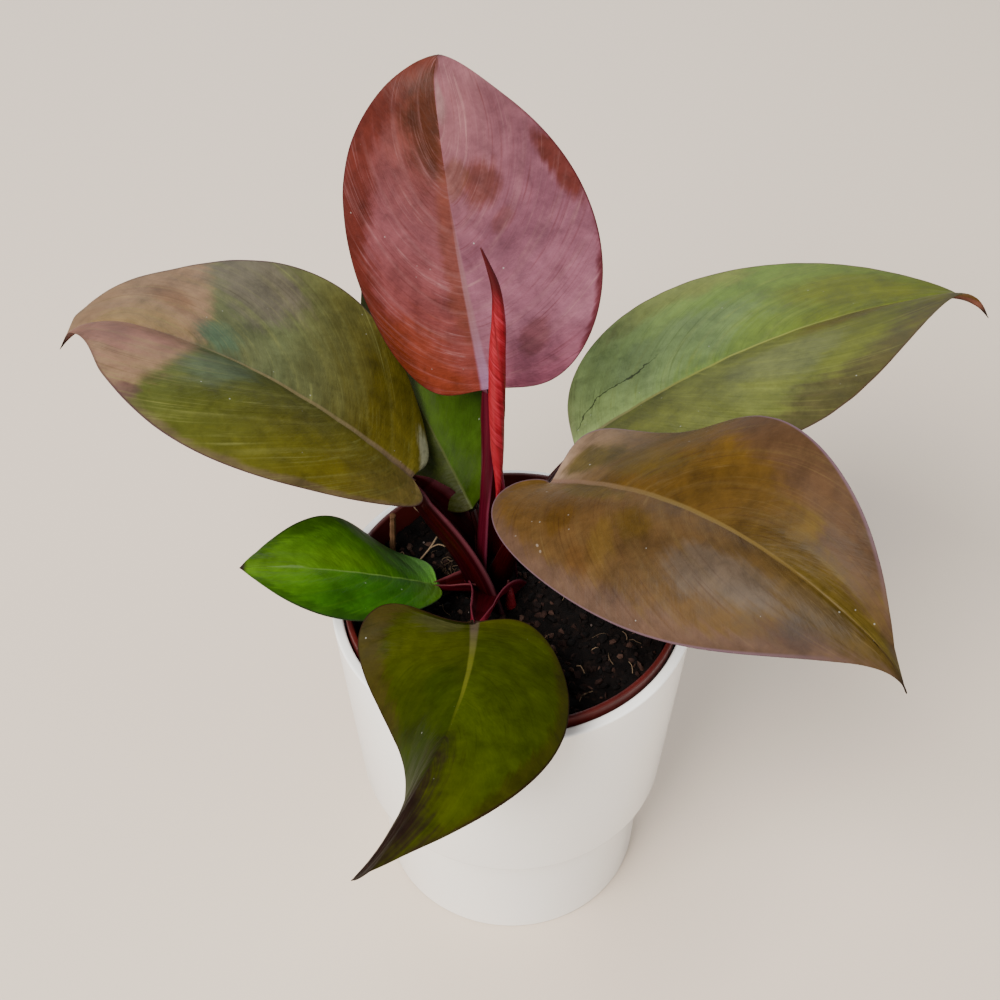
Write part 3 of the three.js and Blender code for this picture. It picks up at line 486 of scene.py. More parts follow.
def new_piece(name, verts, faces, materials, replaced, uv=None, values=None, indices=None, smooth=True):
    """Mesh piece in place of a node: points in mm, faces, UV and values per point, material per face."""
    mesh = bpy.data.meshes.new(name)
    mesh.from_pydata((verts * MM).tolist(), [], [list(face) for face in faces])
    for material in materials:
        mesh.materials.append(material)
    mesh.polygons.foreach_set("use_smooth", np.full(len(mesh.polygons), smooth, dtype=bool))
    if indices is not None:
        mesh.polygons.foreach_set("material_index", np.asarray(indices, dtype=np.int32))
    if uv is not None:
        corner = np.empty(len(mesh.loops), dtype=np.int32)
        mesh.loops.foreach_get("vertex_index", corner)
        layer = mesh.uv_layers.new(name="UVMap")
        layer.data.foreach_set("uv", np.asarray(uv, dtype=np.float32)[corner].ravel())
    for key, array in (values or {}).items():
        layer = mesh.attributes.new(key, "FLOAT", "POINT")
        layer.data.foreach_set("value", np.asarray(array, dtype=np.float32).ravel())
    mesh.update()
    piece = bpy.data.objects.new(name, mesh)
    bpy.context.scene.collection.objects.link(piece)
    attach(piece, "root")
    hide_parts(replaced)


def path_frames(points, facing):
    """Side and up vectors along a path: up is the facing vector made square to the tangent."""
    facing = np.asarray(facing, dtype=float)
    tangent = unit(np.gradient(points, axis=0))
    up = unit(facing - (facing * tangent).sum(-1, keepdims=True) * tangent)
    return np.cross(up, tangent), up


def tube(points, facing, section):
    """Closed rod: each ring is the path's point plus the section's x along side and y along up."""
    side, up = path_frames(points, facing)
    rings = points[:, None] + section[..., :1] * side[:, None] + section[..., 1:] * up[:, None]
    return closed_body(rings, points[0], points[-1])


def round_section(radius, angle):
    """Section of a rod from its radius at each angle."""
    return np.stack([radius * np.cos(angle), radius * np.sin(angle)], axis=-1)


def tube_uv(u, round_share):
    """UV of a rod's points: the share of its length and the share of the way round it."""
    uv = np.stack(np.broadcast_arrays(u, round_share), axis=-1).reshape(-1, 2)
    return np.concatenate([uv, [[0.0, 0.5], [1.0, 0.5]]])


def tube_values(array):
    """Values of a rod's points, with 0 for its two end points."""
    return np.concatenate([array.ravel(), [0.0, 0.0]])


def smooth_path(knots, count):
    """Points on a cubic curve through the knots, evenly spaced in the knots' chord length."""
    knots = np.asarray(knots, dtype=float)
    chord = np.concatenate([[0.0], np.cumsum(np.linalg.norm(np.diff(knots, axis=0), axis=1))])
    slopes = np.gradient(knots, chord, axis=0)
    s = np.linspace(0.0, chord[-1], count)
    i = np.clip(np.searchsorted(chord, s, side="right") - 1, 0, len(chord) - 2)
    h = (chord[i + 1] - chord[i])[:, None]
    x = (s - chord[i])[:, None] / h
    return ((2 * x**3 - 3 * x**2 + 1) * knots[i] + (x**3 - 2 * x**2 + x) * h * slopes[i]
            + (3 * x**2 - 2 * x**3) * knots[i + 1] + (x**3 - x**2) * h * slopes[i + 1])


def lumps(x, y, seed, scale):
    """Smooth noise: the mean of sine waves in random directions, about one wave per scale."""
    rng = np.random.default_rng(seed)
    angle = rng.uniform(0.0, 2 * np.pi, NOISE_WAVES)
    pitch = 2 * np.pi / (scale * rng.uniform(0.6, 1.6, NOISE_WAVES))
    phase = rng.uniform(0.0, 2 * np.pi, NOISE_WAVES)
    wave = (x[..., None] * np.cos(angle) + y[..., None] * np.sin(angle)) * pitch + phase
    return np.sin(wave).mean(axis=-1) * math.sqrt(NOISE_WAVES) * 0.7


# Leaf surfaces

def midrib(leaf):
    """Frames along the midrib: position, tangent, left and up, each turned a little from the last.

    The bend down grows with the 1.4th power of the share of the length, the sweep with the 1.5th,
    the twist evenly, and the hook in the last stretch. The position is the running sum of tangents.
    """
    share = np.arange(-MIDRIB_BACK, 1.0 + 0.5 * MIDRIB_STEP, MIDRIB_STEP)
    forward = np.clip(share, 0.0, 1.0)
    hook_from = leaf.get("hook_from", HOOK_FROM)
    hook = rising(forward - hook_from, 1.0 - hook_from) ** 1.5
    bends = np.radians(np.stack([
        leaf["droop"] * forward**1.4 + leaf["hook"] * hook,
        leaf["sweep"] * forward**1.5 + leaf["tip_sweep"] * hook,
        leaf["twist"] * forward,
    ], axis=-1))
    heading, rise, roll = np.radians([leaf["heading"], leaf["rise"], leaf["roll"]])
    tangent = np.array([math.cos(rise) * math.cos(heading), math.cos(rise) * math.sin(heading),
                        math.sin(rise)])
    left = turn(np.array([-math.sin(heading), math.cos(heading), 0.0]), tangent, roll)
    up = np.cross(tangent, left)
    frames = [np.stack([tangent, left, up])]
    for down, sideways, about in np.diff(bends, axis=0):
        tangent, left, up = frames[-1]
        tangent, up = turn(tangent, left, down), turn(up, left, down)
        tangent, left = turn(tangent, up, sideways), turn(left, up, sideways)
        left, up = turn(left, tangent, about), turn(up, tangent, about)
        frames.append(np.stack([tangent, left, up]))
    frames = np.array(frames)
    steps = 0.5 * (frames[1:, 0] + frames[:-1, 0]) * MIDRIB_STEP * leaf["length"]
    position = np.concatenate([np.zeros((1, 3)), np.cumsum(steps, axis=0)])
    position += np.array(leaf["foot"], dtype=float) - position[MIDRIB_FOOT]
    return np.concatenate([position[:, None], frames], axis=1)


def outline(leaf, u, half):
    """Half width from 0 to 1: a power of sin(pi u), heavier near the foot, over its greatest value.

    Half is 0 for the left half and 1 for the right one.
    """
    def raw(s):
        power = leaf["heel"][half] + (leaf["point"][half] - leaf["heel"][half]) * s**3
        return np.sin(np.pi * s) ** power * np.exp(leaf["heavy"][half] * np.cos(np.pi * s))
    return raw(u) / raw(np.linspace(0.001, 0.999, 400)).max()


def blade_sheet(leaf, u, v):
    """Middle surface over u from foot to tip and v from the right margin to the left one.

    Across, a half is an arc that starts at the fold and curls up by the cup, plus a wave that
    grows with v squared; a peak lifts the right lobe of one leaf. Along, lines of equal u leave the
    midrib and arch towards the tip, and the lobes reach back past the foot. Returns the points in
    mm, the half width and the length share.
    """
    frames = midrib(leaf)
    across = np.abs(v)
    on_left = v >= 0
    side = np.where(on_left, 1.0, -1.0)
    width = np.where(on_left, leaf["left"], leaf["right"])
    cup = np.radians(np.maximum(np.where(on_left, leaf["cup_left"], leaf["cup_right"]), 1.0))
    shape = np.where(on_left, outline(leaf, u, 0), outline(leaf, u, 1))
    half = np.maximum(width * shape, TIP_HALF_WIDTH * np.clip((1 - u) / TIP_NARROWS, 0.15, 1))
    lobe = np.where(on_left, *leaf["lobe"])
    span = np.where(on_left, *leaf["lobe_span"])
    reach = (1 - np.cos(np.pi * u)) / 2 * (1 + lobe) - lobe + lobe * np.exp(-(u / span) ** 2)
    half = half * np.clip((1 - reach) / leaf["needle"], 0.05, 1)
    vein = u**1.7
    along = vein + (reach - vein) * across**1.35
    place = np.clip((along + MIDRIB_BACK) / MIDRIB_STEP, 0, len(frames) - 1.001)
    low = place.astype(int)
    part = (place - low)[..., None, None]
    local = frames[low] * (1 - part) + frames[low + 1] * part
    fold = np.radians(leaf["fold"] + leaf["unfold"] * np.clip(along, 0, 1))
    angle = fold - cup * half * across / width
    outwards = width / cup * (np.sin(fold) - np.sin(angle))
    upwards = width / cup * (np.cos(angle) - np.cos(fold))
    height, cycles, phase = (np.where(on_left, *pair)
                             for pair in zip(leaf["wave_left"], leaf["wave_right"]))
    swing = np.sin(2 * np.pi * (cycles * u + phase)) * np.sqrt(np.sin(np.pi * u))
    upwards = upwards + height * across**2 * swing * rising(1 - reach, WAVE_END)
    points = (local[..., 0, :] + local[..., 2, :] * (side * outwards)[..., None]
              + local[..., 3, :] * upwards[..., None])
    if "peak" in leaf:
        middle, spread, lift = leaf["peak"]
        raised = np.where(on_left, 0.0, across**2 * np.exp(-((u - middle) / spread) ** 2))
        points = points + raised[..., None] * np.array(lift)
    return points, half, along


def sheet_normals(points):
    """Unit normals of a grid of points, from the cross product of its two directions."""
    return unit(np.cross(np.gradient(points, axis=0), np.gradient(points, axis=1)))


# Nodes

def join(tree, value, socket):
    """Link the socket to another one, or set it to a plain value."""
    if isinstance(value, bpy.types.NodeSocket):
        tree.links.new(value, socket)
    else:
        socket.default_value = value


def node(tree, kind, inputs=(), **settings):
    """Shader node with its settings, and its inputs set to values or linked to sockets."""
    made = tree.nodes.new(kind)
    for key, value in settings.items():
        setattr(made, key, value)
    for key, value in dict(inputs).items():
        join(tree, value, made.inputs[key])
    return made


def math_node(tree, operation, *values):
    """Output of a Math node; each value is a number or a socket."""
    return node(tree, "ShaderNodeMath", dict(enumerate(values)), operation=operation).outputs[0]


def times(tree, first, second):
    """Product of two values."""
    return math_node(tree, "MULTIPLY", first, second)


def times_plus(tree, value, factor, shift):
    """Value times a factor, plus a shift."""
    return math_node(tree, "MULTIPLY_ADD", value, factor, shift)


def blend(tree, factor, first, second):
    """Colour output of a Mix node; a plain colour is a tuple of three numbers."""
    made = node(tree, "ShaderNodeMix", data_type="RGBA", blend_type="MIX", clamp_factor=True)
    for place, value in ((0, factor), (6, first), (7, second)):
        join(tree, (*value, 1.0) if isinstance(value, tuple) else value, made.inputs[place])
    return made.outputs[2]


def ramp(tree, factor, stops):
    """Colour ramp through (position, colour) stops."""
    made = node(tree, "ShaderNodeValToRGB", {"Fac": factor})
    elements = made.color_ramp.elements
    while len(elements) < len(stops):
        elements.new(0.5)
    for element, (position, colour) in zip(elements, stops):
        element.position = position
        element.color = (*colour, 1.0)
    return made.outputs["Color"]


def step(tree, value, low, high):
    """Smooth step from 0 at low to 1 at high."""
    return node(tree, "ShaderNodeMapRange", {"Value": value, "From Min": low, "From Max": high},
                interpolation_type="SMOOTHSTEP").outputs["Result"]


def remap(tree, value, low, high, to_low, to_high):
    """Straight line from to_low at low to to_high at high, held at both ends."""
    return node(tree, "ShaderNodeMapRange", {
        "Value": value, "From Min": low, "From Max": high, "To Min": to_low,
        "To Max": to_high}).outputs["Result"]


def noise(tree, vector, scale, detail=3.0, roughness=0.55, distortion=0.0):
    """Height of a Noise texture."""
    return node(tree, "ShaderNodeTexNoise", {
        "Vector": vector, "Scale": scale, "Detail": detail, "Roughness": roughness,
        "Distortion": distortion}).outputs["Fac"]


def cells(tree, vector, scale):
    """Distance to the nearest of scattered points."""
    return node(tree, "ShaderNodeTexVoronoi", {"Vector": vector, "Scale": scale}).outputs["Distance"]


def scaled(tree, vector, factors, shift=(0.0, 0.0, 0.0)):
    """Vector times factors plus a shift."""
    return node(tree, "ShaderNodeVectorMath", {0: vector, 1: factors, 2: shift},
                operation="MULTIPLY_ADD").outputs["Vector"]


def streaky(tree, vector, pitches, detail=3.0, roughness=0.55, distortion=0.0):
    """Noise stretched into streaks: how often it turns over along each of two coordinates."""
    return noise(tree, scaled(tree, vector, (*pitches, 1.0)), 1.0, detail, roughness, distortion)


def shaded(tree, colour, factor):
    """Colour times a value."""
    return node(tree, "ShaderNodeVectorMath", {0: colour, 1: factor},
                operation="MULTIPLY").outputs["Vector"]


def attribute(tree, name):
    """Value of a named attribute of the piece."""
    return node(tree, "ShaderNodeAttribute", attribute_name=name).outputs["Fac"]


def parts_of(tree, vector):
    """First, second and third number of a vector."""
    return tuple(node(tree, "ShaderNodeSeparateXYZ", {"Vector": vector}).outputs)


def vector_of(tree, first, second):
    """Vector of two numbers."""
    return node(tree, "ShaderNodeCombineXYZ", {"X": first, "Y": second}).outputs["Vector"]


def bump(tree, height, strength, distance, normal=None):
    """Normal output of a Bump node."""
    inputs = {"Height": height, "Strength": strength, "Distance": distance}
    if normal is not None:
        inputs["Normal"] = normal
    return node(tree, "ShaderNodeBump", inputs).outputs["Normal"]


def new_material(name):
    """Material with its node tree, and the UV and Object coordinates of the piece."""
    material = bpy.data.materials.new(name)
    material.use_nodes = True
    tree = material.node_tree
    coords = node(tree, "ShaderNodeTexCoord").outputs
    return material, tree, coords["UV"], coords["Object"]


def wire(tree, **sockets):
    """Link sockets to, or set values on, the shader's inputs, named with underscores for spaces."""
    shader = tree.nodes["Principled BSDF"]
    for key, value in sockets.items():
        join(tree, value, shader.inputs[key.replace("_", " ")])


def toned(colour, share=BLADE_TONE):
    """Colour times a share."""
    return tuple(share * value for value in colour)


# Materials

def spot(tree, uv, ragged, place, half_size):
    """Soft ellipse about a place on the blade, whose edge noise pushes in and out: 1 inside."""
    (u, v), (long, wide) = place, half_size
    placed = scaled(tree, uv, (1 / long, 2 / wide, 0.0), (-u / long, -(v + 1) / wide, 0.0))
    reach = node(tree, "ShaderNodeVectorMath", {0: placed}, operation="LENGTH").outputs["Value"]
    return step(tree, math_node(tree, "ADD", reach, ragged), 1.1, 0.5)


def dark_tip(tree, finish, colour):
    """Colour that turns dark over the last of the blade's length, from the share dark_from on."""
    start = finish.get("dark_from", DARK_FROM)
    return blend(tree, step(tree, attribute(tree, "share"), start, start + DARK_BLEND), colour, TIP_TONE)


def blade_colour(tree, uv, place, finish):
    """Colour of a blade's upper face, and the cloudy tone that its gloss follows.

    Over the halves' tones lie streaks along the side veins, marks, a pale midrib that narrows to its
    end, a thin margin, fine pale flecks and a dark tip.
    """
    along, across, _ = parts_of(tree, uv)
    on_left = step(tree, across, 0.497, 0.503)
    on_right = math_node(tree, "SUBTRACT", 1.0, on_left)
    off_middle = math_node(tree, "ABSOLUTE", times_plus(tree, across, 2.0, -1.0))
    bend = times(tree, math_node(tree, "POWER", off_middle, VEIN_BEND_POWER), -VEIN_BEND)
    arcs = vector_of(tree, math_node(tree, "ADD", along, bend), across)
    cloudy = math_node(tree, "SUBTRACT", noise(tree, place, 45.0, 5.0, 0.62), 0.5)
    lines = math_node(tree, "SUBTRACT", streaky(tree, arcs, (48.0, 2.6), 4.0, 0.6), 0.5)
    patchy = streaky(tree, arcs, (7.0, 2.4), 4.0, 0.6, 0.4)
    fine = streaky(tree, arcs, (150.0, 3.6), 4.0, 0.62, 0.15)
    ragged = times_plus(tree, cloudy, 1.5, lines)
    streak = toned(finish["streak"])

    # Tones of the halves, bold streaks, the tip zone and the marks
    shifted = times_plus(tree, ragged, 0.10, along)
    halves = [ramp(tree, shifted, list(zip(finish["stops"], map(toned, finish[side]))))
              for side in ("right", "left")]
    colour = blend(tree, on_left, *halves)
    bold = times(tree, step(tree, lines, 0.07, 0.15), step(tree, patchy, 0.46, 0.62))
    colour = blend(tree, times(tree, bold, finish["streaks"]), colour, streak)
    if "tip_zone" in finish:
        reach = times_plus(tree, off_middle, finish["tip_slope"], along)
        reach = times_plus(tree, ragged, 0.03, reach)
        zone = step(tree, reach, finish["tip_from"] - 0.015, finish["tip_from"] + 0.015)
        colour = blend(tree, zone, colour, toned(finish["tip_zone"]))
    for u, v, long, wide, strength, tint in finish["marks"]:
        inside = times(tree, spot(tree, uv, ragged, (u, v), (long, wide)), strength)
        if v:
            inside = times(tree, inside, on_left if v > 0 else on_right)
        colour = blend(tree, inside, colour, toned(tint))

    # Thin streaks, dark lines, veins and a mottle over them
    thin = times(tree, step(tree, fine, 0.52, 0.70), step(tree, patchy, 0.35, 0.65))
    colour = blend(tree, times(tree, thin, 0.8 * finish["streaks"]), colour, streak)
    shade = times(tree, step(tree, fine, 0.48, 0.32), step(tree, patchy, 0.62, 0.40))
    colour = blend(tree, times(tree, shade, finish["darks"]), colour, toned(finish["dark"]))
    colour = blend(tree, times(tree, attribute(tree, "vein"), 0.14), colour, streak)
    tone = times_plus(tree, cloudy, 1.1, noise(tree, place, 150.0, 5.0, 0.68, 0.3))
    colour = shaded(tree, colour, remap(tree, tone, 0.2, 0.8, 0.62, 1.38))

    # Midrib, crack, margin and flecks
    end = finish["rib_end"]
    width = remap(tree, along, 0.0, end, finish["rib_width"], 0.45)
    inside = math_node(tree, "DIVIDE", attribute(tree, "rib_mm"), width)
    rib = times(tree, step(tree, inside, 1.0, 0.45), step(tree, along, end, end * 0.7))
    rib_tone = ramp(tree, along, [(0.15, toned(finish["rib"])), (0.55 * end, toned(finish["rib_tip"]))])
    colour = blend(tree, times(tree, rib, 0.85), colour, rib_tone)
    if "crack" in finish:
        wander = times_plus(tree, cloudy, 0.22, 0.5 + 0.5 * finish["crack"])
        gap = math_node(tree, "ABSOLUTE", math_node(tree, "SUBTRACT", across, wander))
        line = times(tree, step(tree, gap, 0.006, 0.002), step(tree, along, 0.44, 0.38))
        line = times(tree, line, step(tree, along, 0.08, 0.12))
        colour = blend(tree, times(tree, line, 0.85), colour, CRACK_TONE)
    margin = times(tree, step(tree, attribute(tree, "edge_mm"), 0.6, 0.2), step(tree, along, 0.84, 0.62))
    colour = blend(tree, times(tree, margin, 0.8), colour, toned(finish["margin"]))
    dust = times(tree, step(tree, cells(tree, place, 260.0), 0.09, 0.05),
                 step(tree, noise(tree, place, 70.0), 0.57, 0.62))
    colour = blend(tree, times(tree, dust, 0.5), colour, DUST_TONE)
    return dark_tip(tree, finish, colour), tone


def blade_material(name, finish):
    """Upper face of a blade: its colours, a soft uneven sheen and fine puckers across the veins."""
    material, tree, uv, place = new_material(f"blade_{name}")
    colour, tone = blade_colour(tree, uv, place, finish)
    relief = bump(tree, streaky(tree, uv, (60.0, 7.0)), 0.4, 0.0006)
    relief = bump(tree, noise(tree, place, 900.0), 0.12, 0.0002, relief)
    wire(tree, Base_Color=colour, Roughness=remap(tree, tone, 0.0, 1.0, 0.38, 0.58), Normal=relief,
         Specular_IOR_Level=finish.get("sheen", BLADE_SHEEN))
    return material


def under_material(name, finish):
    """Lower face of a blade: a paler or redder colour with raised darker veins."""
    material, tree, _, place = new_material(f"under_{name}")
    plain = toned(finish["under"])
    dark, pale = toned(plain, 0.6), toned(plain, 1.5)
    colour = ramp(tree, noise(tree, place, 55.0, 4.0), [(0.3, dark), (0.55, plain), (0.75, pale)])
    colour = blend(tree, times(tree, attribute(tree, "vein"), 0.3), colour, dark)
    rib = step(tree, attribute(tree, "rib_mm"), 1.6, 0.8)
    colour = blend(tree, times(tree, rib, 0.75), colour, toned(RIB_BELOW))
    relief = bump(tree, noise(tree, place, 700.0), 0.15, 0.0002)
    wire(tree, Base_Color=dark_tip(tree, finish, colour), Roughness=0.5, Normal=relief,
         Specular_IOR_Level=BLADE_SHEEN)
    return material


def stalk_material(name, colours):
    """Stalk: waxy body with fine lengthwise lines, painted shade at its foot, its own tone inside, pale
    edges.
    """
    body, hollow, edge = (toned(colour) for colour in colours)
    material, tree, uv, place = new_material(f"petiole_{name}")
    lines = streaky(tree, uv, (3.0, 26.0), 4.0, 0.6)
    colour = blend(tree, attribute(tree, "hollow"), body, hollow)
    colour = shaded(tree, colour, remap(tree, lines, 0.25, 0.75, 0.45, 1.7))
    spots = step(tree, noise(tree, place, 420.0, 2.0), 0.66, 0.72)
    colour = blend(tree, times(tree, spots, 0.1), colour, edge)
    colour = blend(tree, attribute(tree, "wing"), colour, edge)
    # Painted shade: the colour falls to 0.3 of itself towards the foot, where the crown's leaves shade
    # the stalk.
    along = parts_of(tree, uv)[0]
    colour = shaded(tree, colour, remap(tree, along, 0.05, 0.42, 0.3, 1.0))
    wire(tree, Base_Color=colour, Roughness=0.36, Normal=bump(tree, lines, 0.3, 0.0003),
         Specular_IOR_Level=STALK_SHEEN)
    return material


def spear_material(name, colour):
    """Rolled leaf: bright body with fine diagonal lines, a dark overlap line and a dark tip."""
    material, tree, uv, _ = new_material(name)
    along, around, _ = parts_of(tree, uv)
    slant = vector_of(tree, times_plus(tree, around, 0.16, along), around)
    lines = streaky(tree, slant, (150.0, 2.0))
    dark = toned(colour, 0.45)
    pale = (1.4 * colour[0], 3.4 * colour[1], 3.2 * colour[2])
    tint = ramp(tree, lines, [(0.3, dark), (0.5, colour), (0.72, pale)])
    tint = blend(tree, times(tree, attribute(tree, "wing"), 0.8), tint, dark)
    tint = blend(tree, step(tree, along, 0.76, 0.90), tint, toned(colour, 0.2))
    wire(tree, Base_Color=tint, Roughness=0.36, Normal=bump(tree, lines, 0.4, 0.0003),
         Specular_IOR_Level=0.15)
    return material


def speckled_material(name, stops, scale, roughness, depth):
    """Matter whose colour follows layered noise through the stops, with a grainy surface."""
    material, tree, _, place = new_material(name)
    tone = noise(tree, place, scale, 6.0, 0.65)
    relief = bump(tree, tone, 0.6, depth)
    relief = bump(tree, noise(tree, place, 900.0), 0.4, depth * 0.4, relief)
    wire(tree, Base_Color=ramp(tree, tone, stops), Roughness=roughness, Normal=relief,
         Specular_IOR_Level=0.1)
    return material


def loose_material(name, stops, roughness, scale):
    """Loose bits, each with its own tone, darkened here and there by noise."""
    material, tree, _, place = new_material(name)
    grain = noise(tree, place, scale, 4.0)
    mixed = math_node(tree, "ADD", attribute(tree, "tone"), times_plus(tree, grain, 0.35, -0.17))
    wire(tree, Base_Color=ramp(tree, mixed, stops), Roughness=roughness,
         Normal=bump(tree, grain, 0.5, 0.0005), Specular_IOR_Level=0.1)
    return material


def glaze_material(colour):
    """White glaze: faint warm and cool clouds, pin-sized specks, orange peel and a clear coat."""
    material, tree, _, place = new_material("white_glaze")
    warm = (colour[0], 0.985 * colour[1], 0.95 * colour[2])
    tint = ramp(tree, noise(tree, place, 14.0), [(0.3, warm), (0.7, colour)])
    pin = math_node(tree, "LESS_THAN", cells(tree, place, 160.0), 0.035)
    tint = blend(tree, times(tree, pin, 0.25), tint, (0.45, 0.40, 0.34))
    peel = bump(tree, noise(tree, place, 180.0, 2.0), 0.05, 0.0004)
    wire(tree, Base_Color=tint, Roughness=0.22, Normal=peel, Coat_Weight=0.4, Coat_Roughness=0.08)
    return material


def plastic_material(colour):
    """Thin nursery-pot plastic: satin with fine scuffs, darker and dusty low down inside."""
    material, tree, _, place = new_material("nursery_plastic")
    height = parts_of(tree, place)[2]
    tone = noise(tree, place, 60.0, 5.0)
    tint = ramp(tree, tone, [(0.3, toned(colour, 0.75)), (0.7, toned(colour, 1.2))])
    low_down = math_node(tree, "SUBTRACT", 1.0, step(tree, height, 0.1345, 0.1395))
    dirt = times(tree, low_down, step(tree, tone, 0.35, 0.6))
    tint = blend(tree, times(tree, dirt, 0.75), tint, (0.03, 0.012, 0.008))
    scuffs = noise(tree, scaled(tree, place, (1.0, 1.0, 30.0)), 90.0, 4.0)
    wire(tree, Base_Color=tint, Roughness=0.42, Normal=bump(tree, scuffs, 0.12, 0.0003),
         Specular_IOR_Level=0.2)
    return material


# Pieces

def build_blade(name, sizes):
    """Closed blade: upper and lower sheets on the middle surface, its columns closer at the margins.

    The thickness falls to the margin as the root of 1 - v^8. Side veins are valleys of a cosine along
    the bent length on the upper face and ridges below, and the midrib is a bell-shaped ridge below
    and a shallow valley above, both of which fade towards the tip.
    """
    leaf, finish = LEAVES[name], FINISHES[name]
    crowding = 0.46 * np.pi
    u, v = np.meshgrid(np.linspace(0.003, 0.997, BLADE_ROWS),
                       np.sin(np.linspace(-crowding, crowding, BLADE_COLUMNS)) / math.sin(crowding),
                       indexing="ij")
    points, half, along = blade_sheet(leaf, u, v)
    normals = sheet_normals(points)
    across = np.abs(v)
    rib_mm = across * half
    edge_mm = (1 - across) * half
    fade = np.clip(np.sin(np.pi * u), 0, 1) ** 0.5
    bent = u - VEIN_BEND * across**VEIN_BEND_POWER
    phase = sizes.side_veins * bent + 0.12 * np.sin(5 * v + 2 * u)
    vein = rising(np.cos(2 * np.pi * phase) - 0.86, 0.14) ** 1.5
    vein *= fade * rising(1 - across, 0.18) * rising(rib_mm, 2.0)
    relief = sizes.vein_relief / MM
    pillow = relief * (0.5 - 0.5 * np.cos(2 * np.pi * phase)) * fade * (1 - across**4)
    ripple = 0.10 * lumps(points[..., 0] + points[..., 2], points[..., 1], 11, 14.0) * fade
    bell = np.exp(-(rib_mm / (0.5 + 1.0 * (1 - along))) ** 2) * np.clip(1 - along, 0, 1) ** 0.8
    thickness = sizes.blade_thickness / MM * np.sqrt(np.clip(1 - across**8, 0.02, 1))
    thickness = thickness * np.clip(np.minimum(u / 0.02, (1 - u) / 0.01) + 0.3, 0.3, 1)
    lift = pillow + ripple - 0.12 * bell - 0.6 * relief * vein
    upper = points + normals * (0.5 * thickness + lift)[..., None]
    ridge = sizes.rib_height / MM * bell
    lower = points - normals * (0.5 * thickness + ridge - lift + relief * vein)[..., None]
    count = u.size
    top_quads = grid_quads(BLADE_ROWS, BLADE_COLUMNS)
    low_quads = top_quads[:, ::-1] + count
    ids = np.arange(count).reshape(u.shape)
    rim = np.concatenate([ids[0, :], ids[1:, -1], ids[-1, -2::-1], ids[-2:0:-1, 0]])
    following = np.roll(rim, -1)
    side_quads = np.stack([rim, following, following + count, rim + count], axis=-1)
    faces = np.concatenate([top_quads, low_quads, side_quads])
    indices = np.repeat([0, 1, 0], [len(top_quads), len(low_quads), len(side_quads)])
    verts = np.concatenate([upper.reshape(-1, 3), lower.reshape(-1, 3)])
    uv = np.tile(np.stack([u, (v + 1) / 2], axis=-1).reshape(-1, 2), (2, 1))
    values = {"share": along, "rib_mm": rib_mm, "edge_mm": edge_mm, "vein": vein}
    values = {key: np.tile(array.ravel(), 2) for key, array in values.items()}
    materials = [blade_material(name, finish), under_material(name, finish)]
    new_piece(f"leaf_{name}", verts, faces, materials, f"blade_{name}", uv, values, indices)


def stalk_curve(leaf):
    """Stalk's centre line, a cubic Bezier from the stem to under the blade's foot, and its up vector."""
    position, tangent, _, up = midrib(leaf)[MIDRIB_FOOT]
    start = np.array(leaf["stalk_foot"], dtype=float)
    end = position + tangent * STALK_UNDERLAP - up * (STALK_END_RADIUS + CAD_BLADE)
    reach = np.linalg.norm(end - start)
    outwards = (end - start) / reach
    first = start + outwards * 0.17 * reach + np.array([0, 0, 0.17 * reach])
    second = end - outwards * 0.2 * reach - tangent * 0.12 * reach
    s = np.linspace(-STALK_SUNK, 1.0, STALK_ROWS)[:, None]
    points = ((1 - s) ** 3 * start + 3 * (1 - s) ** 2 * s * first + 3 * (1 - s) * s**2 * second
              + s**3 * end)
    return points, up


def trough(shape, width, height, u):
    """Section of a sheathed stalk, from the left wing tip round below to the right one and back inside.

    Outside, the oval's radius swells in a bell at each wing tip; the tips stand an opening angle away
    from the top. Inside, a half ellipse joins them. Both fade into a shallow channel up the stalk.
    Returns the section and how near each point is to a wing tip, from 0 to 1.
    """
    channel = 0.32
    bell = 0.38
    wall = 0.3
    spread = rising(shape["sheath_end"] - u, 0.22) ** 0.7
    opening = channel + (shape["opening"] - channel) * spread
    waver = 1 + 0.3 * np.sin(shape["waves"] * np.pi * u + 0.7)
    wing = shape["wing"] * spread * waver
    around = np.linspace(1.0, 0.0, SHEATH_OUTSIDE)[None, :]
    angle = opening + (2 * np.pi - 2 * opening) * around
    near = (np.exp(-((angle - opening) / bell) ** 2)
            + np.exp(-((2 * np.pi - opening - angle) / bell) ** 2))
    x = width * np.sin(angle) * (1 + wing * near)
    y = height * np.cos(angle) * (1 + wing * near)
    across = np.linspace(1.0, -1.0, SHEATH_INSIDE + 2)[None, 1:-1]
    depth = height * (0.22 + (0.55 + 0.9 * np.maximum(wing, 0.0)) * spread)
    x_in = (x[:, -1:] - wall) * across
    y_in = y[:, -1:] - 0.1 - depth * np.sqrt(1 - across**2)
    section = np.stack([np.concatenate([x, x_in], axis=1), np.concatenate([y, y_in], axis=1)], axis=-1)
    edge = np.clip(1 - (1 - near) / 0.16, 0, 1) * spread
    inside = np.broadcast_to(rising(np.abs(across) - 0.93, 0.07), x_in.shape) * spread
    return section, np.concatenate([edge, inside], axis=1)


